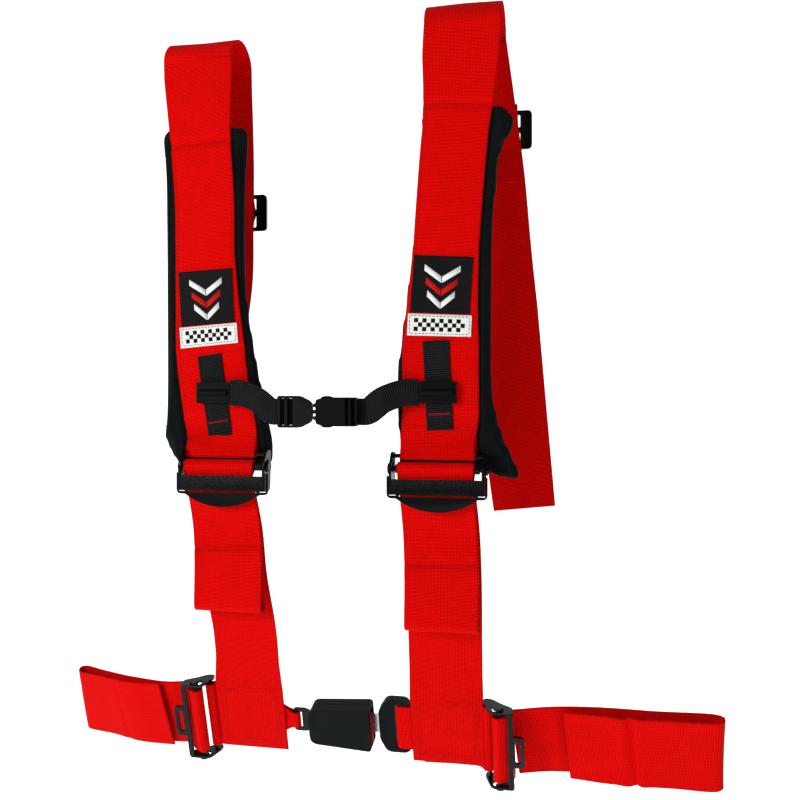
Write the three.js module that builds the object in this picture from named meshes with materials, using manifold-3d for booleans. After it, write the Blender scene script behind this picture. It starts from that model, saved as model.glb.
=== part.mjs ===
// Four-point racing harness, in millimetres, +Z up.
// The origin is on the harness bar's axis, midway between the two shoulder loops.
// +X runs along the bar, -Y is the front, which faces away from the seat.
// The lap parts lie in a plane that leans back at its foot, in a group turned by LAP_LEAN.
import * as THREE from 'three';
import Module from 'manifold-3d';
import { mergeVertices } from 'three/addons/utils/BufferGeometryUtils.js';

const wasm = await Module();
wasm.setup();

// Driving dimensions.
const SHOULDER_WEB = 72;
const LATCH_WEB = 48;
const STERNUM_WEB = 25;
const WEB_THICK = 1.6;
const LAYER = 2.0;
const CLEAR = 0.4;
const LAP_LEAN = THREE.MathUtils.degToRad(16);
const LAP_Y = 20;
const LAP_Z = -660;
const LAP_BAR_Y = -9;
const LAP_FIXED_BAR = 10.5;
const LAP_FIXED_BAR_Y = -0.5;
const PAD_THICK = 12;
const PAD_WEB_Y = -26;
const ROLL_Y = -37;
const ROLL_Z = -401.5;
const LOCK_BAR_R = 4.3;
const ROLL_R = 6.3;
const FRAME_STEEL = 2.4;
const EAR_GAP = 41.5;
const LAP_EAR_GAP = 40.5;
const BAR_SLOT = 4.1;
const BAR_TRAVEL = 3;
const BAR_NECK = 2.6;
const FIXED_BAR_R = 2;
const BAR_HEAD = 5.2;
const STERNUM_Y = -45;
const STERNUM_Z = -349;
const KEEPER_Z = -331;
const PATCH_TUCK = 10;
const LATCH_Y = -2.6;
const LATCH_Z = -1;

const X = new THREE.Vector3(1, 0, 0);
const Y = new THREE.Vector3(0, 1, 0);
const Z = new THREE.Vector3(0, 0, 1);

const LOOKS = {
  red_webbing: { color: 0xd80f06, roughness: 0.85, metalness: 0 },
  black_webbing: { color: 0x141516, roughness: 0.85, metalness: 0 },
  pad_fabric: { color: 0x15191a, roughness: 0.95, metalness: 0 },
  black_steel: { color: 0x101112, roughness: 0.35, metalness: 0.8 },
  bare_steel: { color: 0xb8babd, roughness: 0.3, metalness: 1 },
  black_plastic: { color: 0x17191a, roughness: 0.6, metalness: 0 },
  red_plastic: { color: 0x7d0a16, roughness: 0.5, metalness: 0 },
  label_black: { color: 0x0c0c0d, roughness: 0.8, metalness: 0 },
  label_white: { color: 0xe8e8e6, roughness: 0.8, metalness: 0 },
};

const harness = new THREE.Group();
const lapPlane = new THREE.Group();
lapPlane.position.set(0, LAP_Y, LAP_Z);
lapPlane.rotation.x = LAP_LEAN;
harness.add(lapPlane);

function place(group, name, geometry, look) {
  const mesh = new THREE.Mesh(geometry, new THREE.MeshStandardMaterial(LOOKS[look]));
  mesh.name = name;
  group.add(mesh);
  return mesh;
}

// ---- solids ----------------------------------------------------------------

function toManifold(geometry) {
  const bare = geometry.clone();
  bare.deleteAttribute('normal');
  bare.deleteAttribute('uv');
  const merged = mergeVertices(bare, 1e-4);
  const vertProperties = new Float32Array(merged.attributes.position.array);
  const triVerts = new Uint32Array(merged.index.array);
  return new wasm.Manifold(new wasm.Mesh({ numProp: 3, vertProperties, triVerts }));
}

function toGeometry(manifold) {
  const mesh = manifold.getMesh();
  const geometry = new THREE.BufferGeometry();
  geometry.setAttribute('position', new THREE.BufferAttribute(mesh.vertProperties, 3));
  geometry.setIndex(new THREE.BufferAttribute(mesh.triVerts, 1));
  geometry.computeVertexNormals();
  return geometry;
}

function combine(first, { add = [], cut = [] }) {
  let solid = toManifold(first);
  for (const extra of add) solid = solid.add(toManifold(extra));
  for (const tool of cut) solid = solid.subtract(toManifold(tool));
  return toGeometry(solid);
}

function box([x0, y0, z0], [x1, y1, z1]) {
  return new THREE.BoxGeometry(x1 - x0, y1 - y0, z1 - z0)
    .translate((x0 + x1) / 2, (y0 + y1) / 2, (z0 + z1) / 2);
}

// A closed outline whose corners are [u, v, corner radius], always drawn anticlockwise.
function outline(corners, kind = THREE.Shape) {
  const shape = new kind();
  const given = corners.map(([u, v, radius = 0]) => Object.assign(new THREE.Vector2(u, v), { radius }));
  const points = THREE.ShapeUtils.area(given) < 0 ? given.reverse() : given;
  points.forEach((here, i) => {
    const { radius } = here;
    const before = points[(i + points.length - 1) % points.length];
    const after = points[(i + 1) % points.length];
    const start = here.clone().add(before.clone().sub(here).setLength(radius));
    const end = here.clone().add(after.clone().sub(here).setLength(radius));
    if (i === 0) shape.moveTo(start.x, start.y);
    else shape.lineTo(start.x, start.y);
    if (radius > 0) shape.quadraticCurveTo(here.x, here.y, end.x, end.y);
  });
  shape.closePath();
  return shape;
}

function rectangle(u0, v0, u1, v1, radius = 0) {
  return [[u0, v0, radius], [u1, v0, radius], [u1, v1, radius], [u0, v1, radius]];
}

function extrude(corners, depth, holes = [], curveSegments = 4) {
  const shape = outline(corners);
  shape.holes = holes.map((hole) => outline(hole, THREE.Path));
  return new THREE.ExtrudeGeometry(shape, { depth, bevelEnabled: false, curveSegments });
}

// A plate that faces the front: its outline is in X and Z, from yFront back to yBack.
function frontPlate(corners, yFront, yBack, holes = [], curveSegments = 4) {
  return extrude(corners, yBack - yFront, holes, curveSegments)
    .rotateX(Math.PI / 2)
    .translate(0, yBack, 0);
}

// A plate square to X: its outline is in Y and Z, from x0 to x1.
function sidePlate(corners, x0, x1, holes = []) {
  return extrude(corners, x1 - x0, holes)
    .applyMatrix4(new THREE.Matrix4().makeBasis(Y, Z, X))
    .translate(x0, 0, 0);
}

// A plate square to Z: its outline is in X and Y, from z0 to z1.
function topPlate(corners, z0, z1, holes = []) {
  return extrude(corners, z1 - z0, holes).translate(0, 0, z0);
}

// A turned bar along X, centred on x = 0: [distance from its middle, radius] steps of one half.
function turnedBar(steps, sides = 16) {
  const half = [];
  steps.forEach(([reach, radius], i) => {
    if (i > 0) half.push([steps[i - 1][0], radius]);
    half.push([reach, radius]);
  });
  const right = half.map(([reach, radius]) => new THREE.Vector2(radius, reach));
  const left = half.map(([reach, radius]) => new THREE.Vector2(radius, -reach)).reverse();
  const end = steps[steps.length - 1][0];
  const profile = [new THREE.Vector2(0, -end), ...left, ...right, new THREE.Vector2(0, end)];
  return new THREE.LatheGeometry(profile, sides).rotateZ(-Math.PI / 2);
}

// ---- webbing ---------------------------------------------------------------

// A flat strap through a list of centre points. `across` is the direction of its width.
function strap(points, { width, across = X, thick = WEB_THICK, ring = false }) {
  const count = points.length;
  const positions = [];
  const indices = [];
  points.forEach((point, i) => {
    const before = ring ? points[(i + count - 1) % count] : points[Math.max(i - 1, 0)];
    const after = ring ? points[(i + 1) % count] : points[Math.min(i + 1, count - 1)];
    const along = after.clone().sub(before).normalize();
    const side = across.clone().addScaledVector(along, -across.dot(along)).normalize();
    const normal = along.clone().cross(side);
    for (const [s, n] of [[-1, -1], [1, -1], [1, 1], [-1, 1]]) {
      const corner = point.clone()
        .addScaledVector(side, (s * width) / 2)
        .addScaledVector(normal, (n * thick) / 2);
      positions.push(corner.x, corner.y, corner.z);
    }
  });
  const spans = ring ? count : count - 1;
  for (let i = 0; i < spans; i++) {
    for (let j = 0; j < 4; j++) {
      const a = 4 * i + j;
      const b = 4 * i + ((j + 1) % 4);
      const c = 4 * ((i + 1) % count) + ((j + 1) % 4);
      const d = 4 * ((i + 1) % count) + j;
      indices.push(a, b, c, a, c, d);
    }
  }
  if (!ring) {
    const last = 4 * (count - 1);
    indices.push(0, 2, 1, 0, 3, 2, last, last + 1, last + 2, last, last + 2, last + 3);
  }
  const geometry = new THREE.BufferGeometry();
  geometry.setAttribute('position', new THREE.Float32BufferAttribute(positions, 3));
  geometry.setIndex(indices);
  geometry.computeVertexNormals();
  return geometry;
}

function vectors(list) {
  return list.map(([x, y, z]) => new THREE.Vector3(x, y, z));
}

function smooth(list, count) {
  return new THREE.CatmullRomCurve3(vectors(list), false, 'centripetal').getSpacedPoints(count);
}

// Points of an arc about an axis along X (plane 'yz') or along Z (plane 'xy').
function arc(centre, radius, from, to, count, plane = 'yz') {
  const points = [];
  for (let i = 0; i <= count; i++) {
    const angle = THREE.MathUtils.degToRad(from + ((to - from) * i) / count);
    const u = radius * Math.cos(angle);
    const v = radius * Math.sin(angle);
    points.push(plane === 'yz'
      ? [centre[0], centre[1] + u, centre[2] + v]
      : [centre[0] + u, centre[1] + v, centre[2]]);
  }
  return points;
}

// A closed turn of webbing wrapped on a bar along X, centred on its own origin.
function wrap(width, radius) {
  const turn = arc([0, 0, 0], radius, 0, 360, 16).slice(0, -1);
  return strap(vectors(turn), { width, ring: true });
}

// ---- one side, from the bar to the lap anchor -------------------------------

const SIDES = {
  left: {
    outward: -1,
    rollX: -104,
    frameShift: 4.5,
    frontLine: [
      [-104.6, -383.5], [-104.8, -377], [-111, -348], [-118, -298], [-124, -202], [-125, -141], [-130, -70],
    ],
    barX: -130,
    loopLean: -5,
    loopRise: 0,
    loopRadius: 20.5,
    rearLine: [[-131, 30, -100], [-134, 36, -142], [-137, 42, -210], [-147, 44, -280], [-150, 45, -330]],
    rearSlide: [-134, 36, -142],
    pad: [
      [-175, -66, 12], [-82, -66, 12], [-78, -238, 30], [-60, -340, 20], [-54, -384, 8],
      [-60, -401, 8], [-150, -402, 12], [-173, -384, 16],
    ],
    label: [-122, -240],
    keeperTop: [-119, -294],
    keeperFoot: [-107, -374],
    lowerLine: [[-104, -36.8, -412], [-99, -24, -461], [-97, -16, -510], [-91, -5, -570]],
    strapFootX: -92,
    tailLine: [[-104, -39.8, -413], [-100, -31, -461], [-98, -29, -493], [-99, -28, -540]],
    lapRollX: -147,
    lapZ: -4,
    lapBelt: [[-161, 2], [-190, 5], [-235, 18], [-275, 34], [-307, 46]],
    lapFold: [-311, 41],
    lapReturn: [[-307, 35], [-270, 21], [-230, 7], [-188, -1]],
    lapDroop: 20,
  },
  right: {
    outward: 1,
    rollX: 107.5,
    frameShift: 1.5,
    frontLine: [[108, -384], [110, -350], [110, -284], [115, -196], [121, -116], [126, -62]],
    barX: 130,
    loopLean: 0,
    loopRise: 11,
    loopRadius: 26,
    rearLine: [[141, 36, -72], [147, 41, -120], [154, 47, -200], [168, 55, -330], [181, 60, -447]],
    rearSlide: [141, 36, -72],
    pad: [
      [90, -62, 12], [166, -60, 10], [181, -76, 8], [169, -112, 20], [163, -198, 30], [162, -330, 30],
      [184, -419, 6], [160, -414, 4], [152, -401, 6], [66, -401, 18], [60, -320, 30], [76, -198, 30],
    ],
    label: [111, -233],
    keeperTop: [106, -283],
    keeperFoot: [110, -366],
    lowerLine: [[107.5, -36.8, -412], [111, -24, -461], [112, -16, -510], [111, -5, -570]],
    strapFootX: 110,
    tailLine: [[107.5, -39.8, -413], [110, -31, -461], [111.5, -29, -503], [111, -28, -549]],
    lapRollX: 160.5,
    lapZ: -10,
    lapBelt: [[174.5, 2], [205, 5], [250, 2], [300, -4], [358, -12]],
    lapFold: [363, -17],
    lapReturn: [[358, -22], [320, -19], [270, -12], [224, -4]],
    lapDroop: -19,
  },
};

function shoulderWebbing(side) {
  const front = side.frontLine.map(([x, z]) => [x, PAD_WEB_Y, z]);
  // The loop leans as it turns over, from its front to its rear.
  const over = arc([side.barX, 0, side.loopRise], side.loopRadius, 180, 0, 14)
    .map(([x, y, z], i) => [x + side.loopLean * (1 - i / 14), y, z]);
  const route = [...smooth([...front, over[0]], 26), ...vectors(over.slice(1, -1)),
    ...smooth([over[over.length - 1], ...side.rearLine], 22)];
  return strap(route, { width: SHOULDER_WEB });
}

// The pad is thinner along its foot, where the adjuster's frame tilts back over it.
function shoulderPad(side) {
  const front = PAD_WEB_Y + WEB_THICK / 2 + CLEAR;
  const back = front + PAD_THICK;
  const footRelief = box([-200, front - 1, -430], [200, front + 4.6, -384.5]);
  return combine(frontPlate(side.pad, front, back), { cut: [footRelief] });
}

function rearSlide(side) {
  const [x, y, z] = side.rearSlide;
  const halfWidth = 49;
  const halfHeight = 19;
  const rim = 4;
  const endRim = 11.5;
  const bar = 5;
  const slot = rectangle(-halfWidth + endRim, 0, halfWidth - endRim, halfHeight - rim - bar / 2, 1.5);
  const slots = [-1, 1].map((end) => slot.map(([u, v, r]) => [u, end * (bar / 2 + v), r]));
  const plate = frontPlate(rectangle(-halfWidth, -halfHeight, halfWidth, halfHeight, 5),
    0, 3, slots);
  return plate.translate(x, y + 2 * LAYER, z);
}

function shoulderAdjusterFrame(side) {
  const outer = EAR_GAP + FRAME_STEEL;
  const slotTop = ROLL_Z + BAR_TRAVEL + BAR_SLOT;
  const ear = [
    [-46, -425, 2], [-29, -425, 5], [-27, -398, 3], [-27, -386, 4], [-37, -386, 4], [-46, -398, 4],
  ];
  const slot = rectangle(ROLL_Y - BAR_SLOT, ROLL_Z - BAR_SLOT, ROLL_Y + BAR_SLOT, slotTop, BAR_SLOT * 0.9);
  const ears = [sidePlate(ear, -outer, -EAR_GAP, [slot]), sidePlate(ear, EAR_GAP, outer, [slot])];
  const crossbar = box([-outer + 0.5, -46, -424.9], [outer - 0.5, -43.8, -410.5]);
  const upperBar = turnedBar([[EAR_GAP + 1, FIXED_BAR_R]], 12).translate(0, -30, -390);
  return combine(ears[0], { add: [ears[1], crossbar, upperBar] })
    .translate(side.rollX + side.frameShift, 0, 0);
}

// A stamped plate behind the crossbar: a half-moon thumb tab, with a thin rim round the frame's ears.
function releaseTab(side) {
  const rimInner = EAR_GAP + FRAME_STEEL + 0.5;
  const rimOuter = rimInner + 2.2;
  const rimTop = -408;
  const sill = -428.5;
  const sillTop = sill + 2.6;
  const plateTop = -415;
  const corner = 5;
  const moonHalf = 38;
  const foot = -440.5;
  const shape = new THREE.Shape();
  shape.moveTo(-rimOuter, rimTop);
  shape.lineTo(-rimOuter, sill + corner);
  shape.quadraticCurveTo(-rimOuter, sill, -rimOuter + corner, sill);
  shape.lineTo(-moonHalf, sill);
  shape.quadraticCurveTo(-moonHalf * 0.55, foot, 0, foot);
  shape.quadraticCurveTo(moonHalf * 0.55, foot, moonHalf, sill);
  shape.lineTo(rimOuter - corner, sill);
  shape.quadraticCurveTo(rimOuter, sill, rimOuter, sill + corner);
  shape.lineTo(rimOuter, rimTop);
  shape.lineTo(rimInner, rimTop);
  shape.lineTo(rimInner, sillTop);
  shape.lineTo(moonHalf, sillTop);
  shape.lineTo(moonHalf, plateTop);
  shape.lineTo(-moonHalf, plateTop);
  shape.lineTo(-moonHalf, sillTop);
  shape.lineTo(-rimInner, sillTop);
  shape.lineTo(-rimInner, rimTop);
  shape.closePath();
  const window = outline(rectangle(-moonHalf + 3, sill + 1.3, moonHalf - 3, sill + 3.3, 0.5), THREE.Path);
  shape.holes = [window];
  return new THREE.ExtrudeGeometry(shape, { depth: 1.8, bevelEnabled: false, curveSegments: 8 })
    .rotateX(Math.PI / 2)
    .translate(side.rollX + side.frameShift, -41.6, 0);
}

// A lock bar: fat between the frame's ears, necked in their slots, with a head outside each.
function lockBar(earGap) {
  const neckEnd = earGap + FRAME_STEEL + CLEAR;
  return turnedBar([[earGap - 2.5, LOCK_BAR_R], [neckEnd, BAR_NECK], [neckEnd + 2, BAR_HEAD]]);
}

function tailFold(side) {
  const foot = side.tailLine[side.tailLine.length - 1];
  const radius = 3;
  const hem = 58;
  const turn = arc([foot[0], foot[1] + radius, foot[2]], radius, 180, 360, 8);
  const back = [foot[0], foot[1] + 2 * radius, foot[2]];
  const route = [...smooth(side.tailLine, 16), ...vectors(turn.slice(1, -1)),
    ...vectors([back, [back[0], back[1] - 2, back[2] + hem]])];
  return strap(route, { width: SHOULDER_WEB });
}

// A point of the lap plane, given in its own frame, in the harness frame.
function fromLapPlane(x, y, z) {
  return new THREE.Vector3(x, y, z).applyAxisAngle(X, LAP_LEAN).add(new THREE.Vector3(0, LAP_Y, LAP_Z));
}

function lowerStrap(side) {
  const patchY = -1.6 * LAYER;
  const top = fromLapPlane(side.strapFootX, patchY, 34);
  const foot = fromLapPlane(side.strapFootX, patchY, -SHOULDER_WEB / 2);
  const route = smooth([...side.lowerLine, top.toArray()], 20);
  return strap([...route, foot], { width: SHOULDER_WEB });
}

function keeperStrap(side) {
  const y = PAD_WEB_Y - WEB_THICK - CLEAR;
  const [topX, topZ] = side.keeperTop;
  const [footX, footZ] = side.keeperFoot;
  return strap(vectors([[topX, y, topZ], [footX, y, footZ]]), { width: STERNUM_WEB, thick: 1.2 });
}

function keeperPoint(side, z) {
  const [topX, topZ] = side.keeperTop;
  const [footX, footZ] = side.keeperFoot;
  return topX + ((footX - topX) * (z - topZ)) / (footZ - topZ);
}

// A bridge over the vertical strap: two side walls, a back that carries the cross strap.
function keeperSlider(side) {
  const strapFront = PAD_WEB_Y - WEB_THICK - CLEAR - 0.6;
  const half = STERNUM_WEB / 2 + 2.4;
  const wall = 2.2;
  const height = 10;
  const body = box([-half - wall, strapFront - 4.4, -height], [half + wall, strapFront + 1.0, height]);
  const tunnel = box([-half, strapFront - CLEAR, -height - 1], [half, strapFront + 2, height + 1]);
  const ridge = new THREE.CylinderGeometry(3, 3, 2 * half, 12).rotateZ(Math.PI / 2)
    .translate(0, strapFront - 4, 0);
  return combine(body, { add: [ridge], cut: [tunnel] })
    .translate(keeperPoint(side, KEEPER_Z), 0, KEEPER_Z);
}

function sternumStrap(side) {
  const start = keeperPoint(side, KEEPER_Z) - side.outward * (STERNUM_WEB / 2 + 5);
  const buckleEnd = side.outward < 0 ? -42.6 : 36.6;
  const inward = Math.sign(buckleEnd - start);
  const route = smooth([
    [start, -31.6, KEEPER_Z],
    [start + inward * 14, -35.5, KEEPER_Z - 0.5],
    [start + inward * 32, -41, KEEPER_Z - 7],
    [buckleEnd - inward * 8, STERNUM_Y + 0.8, STERNUM_Z + 0.6],
    [buckleEnd, STERNUM_Y, STERNUM_Z],
  ], 14);
  return strap(route, { width: STERNUM_WEB, across: Z, thick: 1.2 });
}

// A frame whose crossbar and slotted lever are outward of the lock bar, and its fixed bar inward of it.
function lapAdjusterFrame(side) {
  const out = side.outward;
  const outwards = (corners) => corners.map(([u, v, r]) => [u * out, v, r]);
  const end = outwards([
    [14, -15, 3], [14, -6, 4], [2, 0, 4], [-8, 6.8, 3], [-15.4, 6.8, 3], [-15.4, 0.5, 2], [-8, -15, 5],
  ]);
  const slot = outwards(rectangle(
    -BAR_TRAVEL - BAR_SLOT, LAP_BAR_Y - BAR_SLOT, BAR_SLOT, LAP_BAR_Y + BAR_SLOT, 3.7));
  const plates = [-LAP_EAR_GAP - FRAME_STEEL, LAP_EAR_GAP]
    .map((base) => topPlate(end, base, base + FRAME_STEEL, [slot]));
  const front = -14.9;
  const back = front + 2.2;
  const lever = frontPlate(outwards(rectangle(11, -17, 24.5, 17, 4)), front, back,
    [outwards(rectangle(15.5, -12, 20.5, 12, 2))]);
  const barHalf = LAP_EAR_GAP + 0.5;
  const crossbar = frontPlate(outwards(rectangle(9, -barHalf, 14, barHalf)), front, back);
  const fixedBar = turnedBar([[LAP_EAR_GAP + 1, FIXED_BAR_R]], 12).rotateY(Math.PI / 2)
    .translate(-out * LAP_FIXED_BAR, LAP_FIXED_BAR_Y, 0);
  return combine(plates[0], { add: [plates[1], crossbar, lever, fixedBar] });
}

function lapBelt(side) {
  const [foldX, foldY] = side.lapFold;
  const startX = side.lapBelt[0][0];
  const droop = ([x, y]) => [x, y, side.lapZ - (side.lapDroop * (x - startX)) / (foldX - startX)];
  const route = smooth([...side.lapBelt, [foldX, foldY], ...side.lapReturn].map(droop), 44);
  return strap(route, { width: SHOULDER_WEB, across: Z });
}

// The lap webbing under the stitched patch, out to the adjuster's fixed bar.
function lapInnerWebbing(side) {
  const layerY = 1.4 * LAYER;
  const inner = side.strapFootX - side.outward * (SHOULDER_WEB / 2 - PATCH_TUCK);
  const end = side.lapRollX - side.outward * (LAP_FIXED_BAR + FIXED_BAR_R + CLEAR);
  const z = 0.6 * side.lapZ;
  return strap(vectors([[inner, layerY, z], [end, layerY, z]]), { width: SHOULDER_WEB, across: Z });
}

for (const [name, side] of Object.entries(SIDES)) {
  const webY = PAD_WEB_Y - WEB_THICK / 2;
  place(harness, `${name}_shoulder_webbing`, shoulderWebbing(side), 'red_webbing');
  place(harness, `${name}_shoulder_pad`, shoulderPad(side), 'pad_fabric');
  const [labelX, labelZ] = side.label;
  const badge = rectangle(labelX - 28, labelZ - 25, labelX + 28, labelZ + 28, 1);
  const strip = rectangle(labelX - 30, labelZ - 46, labelX + 30, labelZ - 26, 1);
  place(harness, `${name}_label`, frontPlate(badge, webY - CLEAR - 0.8, webY - CLEAR), 'label_black');
  place(harness, `${name}_label_strip`, frontPlate(strip, webY - CLEAR - 0.8, webY - CLEAR), 'label_white');
  place(harness, `${name}_keeper_strap`, keeperStrap(side), 'black_webbing');
  place(harness, `${name}_keeper_slider`, keeperSlider(side), 'black_plastic');
  place(harness, `${name}_sternum_strap`, sternumStrap(side), 'black_webbing');
  place(harness, `${name}_rear_slide`, rearSlide(side), 'black_steel');

  place(harness, `${name}_adjuster_frame`, shoulderAdjusterFrame(side), 'black_steel');
  place(harness, `${name}_release_tab`, releaseTab(side), 'black_plastic');
  place(harness, `${name}_lock_bar`, lockBar(EAR_GAP), 'black_steel')
    .position.set(side.rollX + side.frameShift, ROLL_Y, ROLL_Z);
  place(harness, `${name}_webbing_roll`, wrap(SHOULDER_WEB, ROLL_R - WEB_THICK / 2), 'red_webbing')
    .position.set(side.rollX, ROLL_Y, ROLL_Z);
  place(harness, `${name}_lower_strap`, lowerStrap(side), 'red_webbing');
  place(harness, `${name}_strap_tail`, tailFold(side), 'red_webbing');

  place(lapPlane, `${name}_lap_inner_webbing`, lapInnerWebbing(side), 'red_webbing');
  place(lapPlane, `${name}_lap_adjuster_frame`, lapAdjusterFrame(side), 'black_steel')
    .position.set(side.lapRollX, 0, side.lapZ);
  const lapBar = place(lapPlane, `${name}_lap_lock_bar`, lockBar(LAP_EAR_GAP), 'black_steel');
  lapBar.rotation.y = Math.PI / 2;
  lapBar.position.set(side.lapRollX, LAP_BAR_Y, side.lapZ);
  const lapRoll = place(lapPlane, `${name}_lap_webbing_roll`, wrap(SHOULDER_WEB, ROLL_R), 'red_webbing');
  lapRoll.rotation.y = Math.PI / 2;
  lapRoll.position.set(side.lapRollX, LAP_BAR_Y, side.lapZ);
  place(lapPlane, `${name}_lap_belt`, lapBelt(side), 'red_webbing');
}

// ---- sternum buckle --------------------------------------------------------

function maleBuckle() {
  const half = 15;
  const body = frontPlate(
    [[-42, -half, 2], [-20, -half, 3], [-8, -9, 4], [-8, 9, 4], [-20, half, 3], [-42, half, 2]],
    -2.3, 2.3,
    [rectangle(-39, -12.7, -35, 12.7, 1), rectangle(-32, -12.7, -27, 12.7, 1)]);
  const guide = frontPlate(
    [[-9, -1.8], [16, -1.8, 1], [19.5, 0, 0.5], [16, 1.8, 1], [-9, 1.8]], -1.6, 1.6);
  return combine(body, { add: [guide] });
}

// One sprung prong, drawn above the axis: a thin arm with a barbed, thumb-sized head.
function buckleProng() {
  return frontPlate([
    [-7, 4.2, 0.5], [2, 4.2, 1], [14, 5.5, 1], [19, 8.5, 1], [15, 12, 2], [9, 15, 3],
    [1, 14.5, 3], [-2, 9, 2], [-7, 7.4, 1],
  ], -2, 2);
}

function femaleBuckle() {
  const half = 13.5;
  const sheet = [
    [-4, -11.5, 3], [6, -half, 3], [36, -half, 4], [36, half, 4], [6, half, 3], [-4, 11.5, 3],
  ];
  const ladder = [rectangle(24.5, -12.2, 27.5, 12.2, 1), rectangle(30, -12.2, 33.5, 12.2, 1)];
  const block = frontPlate(rectangle(22.5, -half, 36, half, 3), -4.4, 4.4, ladder);
  const walls = [frontPlate(sheet, -4.4, -2.6, ladder), frontPlate(sheet, 2.6, 4.4, ladder)];
  return combine(block, { add: walls });
}

const sternum = new THREE.Group();
sternum.position.set(0, STERNUM_Y, STERNUM_Z);
harness.add(sternum);
place(sternum, 'sternum_buckle_male', maleBuckle(), 'black_plastic');
place(sternum, 'sternum_prong_upper', buckleProng(), 'black_plastic');
place(sternum, 'sternum_prong_lower', buckleProng(), 'black_plastic').rotation.x = Math.PI;
place(sternum, 'sternum_buckle_female', femaleBuckle(), 'black_plastic');

// ---- latch and tongue ------------------------------------------------------

const LATCH_SPLIT = 1;
const HOUSING = [[-29, -19, 8], [34, -23.5, 4], [34, 23.5, 4], [-29, 19, 8]];
const POCKET = [[-25, -15.5, 4], [40, -19.5, 1], [40, 19.5, 1], [-25, 15.5, 4]];

function latchShell(yFront, yBack, pocketFront, pocketBack) {
  const neck = box([-35, -1.2, -11], [-20, 4.6, 11]);
  return combine(frontPlate(HOUSING, yFront, yBack), {
    cut: [frontPlate(POCKET, pocketFront, pocketBack), neck],
  });
}

// A plate with the anchor slot at its outer end, and a guide rail above and below the tongue.
function latchFrame() {
  const front = 1.4;
  const back = 3.4;
  const plate = frontPlate([
    [-48, -13, 4], [-34, -13, 3], [-30, -10, 2], [14, -10, 2],
    [14, 10, 2], [-30, 10, 2], [-34, 13, 3], [-48, 13, 4],
  ], front, back, [rectangle(-43, -9, -39, 9, 1)]);
  const rails = [-1, 1].flatMap((end) => [
    frontPlate(rectangle(-18, end * 13, 12, end * 15), -3, back),
    frontPlate(rectangle(-18, end * 9, -8, end * 14), front, back),
  ]);
  return combine(plate, { add: rails });
}

function latchButton() {
  const body = frontPlate(rectangle(22, -17.6, 35.5, 17.6, 1.5), -7.2, -1.6);
  const springBore = new THREE.CylinderGeometry(2.4, 2.4, 9, 12)
    .rotateZ(Math.PI / 2)
    .translate(25.5, -4.4, 0);
  return combine(body, { cut: [springBore] });
}

class Helix extends THREE.Curve {
  constructor(radius, length, turns) {
    super();
    Object.assign(this, { radius, length, turns });
  }

  getPoint(t) {
    const angle = 2 * Math.PI * this.turns * t;
    return new THREE.Vector3(this.length * t, this.radius * Math.cos(angle), this.radius * Math.sin(angle));
  }
}

function latchSpring() {
  const wire = new THREE.Shape();
  wire.absarc(0, 0, 0.35, 0, 2 * Math.PI);
  const coil = new Helix(1.7, 20, 8);
  return new THREE.ExtrudeGeometry(wire, { steps: 72, extrudePath: coil, curveSegments: 5 })
    .translate(5, -4.4, 0);
}

function latchPawl() {
  const arm = box([-17, -4, -8], [4, -2.2, 8]);
  const knuckle = new THREE.CylinderGeometry(1.6, 1.6, 20, 12).rotateX(Math.PI / 2).translate(-17, -2.6, 0);
  const hook = box([1.6, -3.6, -5], [4, 0.3, 5]);
  return combine(arm, { add: [knuckle, hook] });
}

function tonguePlate() {
  return frontPlate(
    [[16, -8, 3], [46, -11, 1], [52, -13, 2], [52, 13, 2], [46, 11, 1], [16, 8, 3]],
    4.6, 7,
    [rectangle(21, -5.5, 28, 5.5, 1.5)]);
}

function tongueCover() {
  const rim = [
    [41, -15, 3], [48, -29, 5], [67, -29, 3], [72.5, -25, 3], [72.5, 25, 3], [69, 30, 3], [49, 30, 5],
    [41, 17, 3],
  ];
  const slot = rectangle(57, -24.6, 63.4, 24.6, 1);
  const socket = box([35, 4.2, -14], [52.4, 7.4, 14]);
  // The bar past the slot is thinner than the rim, so the webbing turns tightly on it.
  const thinning = [[-1, 3.4], [6.6, 12]].map(([y0, y1]) => box([60, y0, -24.6], [80, y1, 24.6]));
  return combine(frontPlate(rim, 0.6, 9.4, [slot]), { cut: [socket, ...thinning] });
}

// A doubled loop of narrow webbing: around an end bar at barX, its ends sewn in at endX.
// It stays straight past the bar, then closes up into its two layers.
function narrowLoop({ barX, barY, turnRadius, straight, endX, width }) {
  const toEnd = Math.sign(endX - barX);
  const turn = arc([barX, barY, 0], turnRadius, 90, 90 + toEnd * 180, 10, 'xy');
  const frontFirst = [endX, -0.6 * LAYER, 0];
  const backLast = [endX, 0.4 * LAYER, 0];
  const clear = barX + toEnd * straight;
  const points = [backLast, [clear + toEnd * 8, 0.4 * LAYER, 0], [clear, barY + turnRadius, 0], ...turn,
    [clear, barY - turnRadius, 0], [clear + toEnd * 8, -0.6 * LAYER, 0], frontFirst];
  return strap(vectors(points), { width, across: Z });
}

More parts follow.
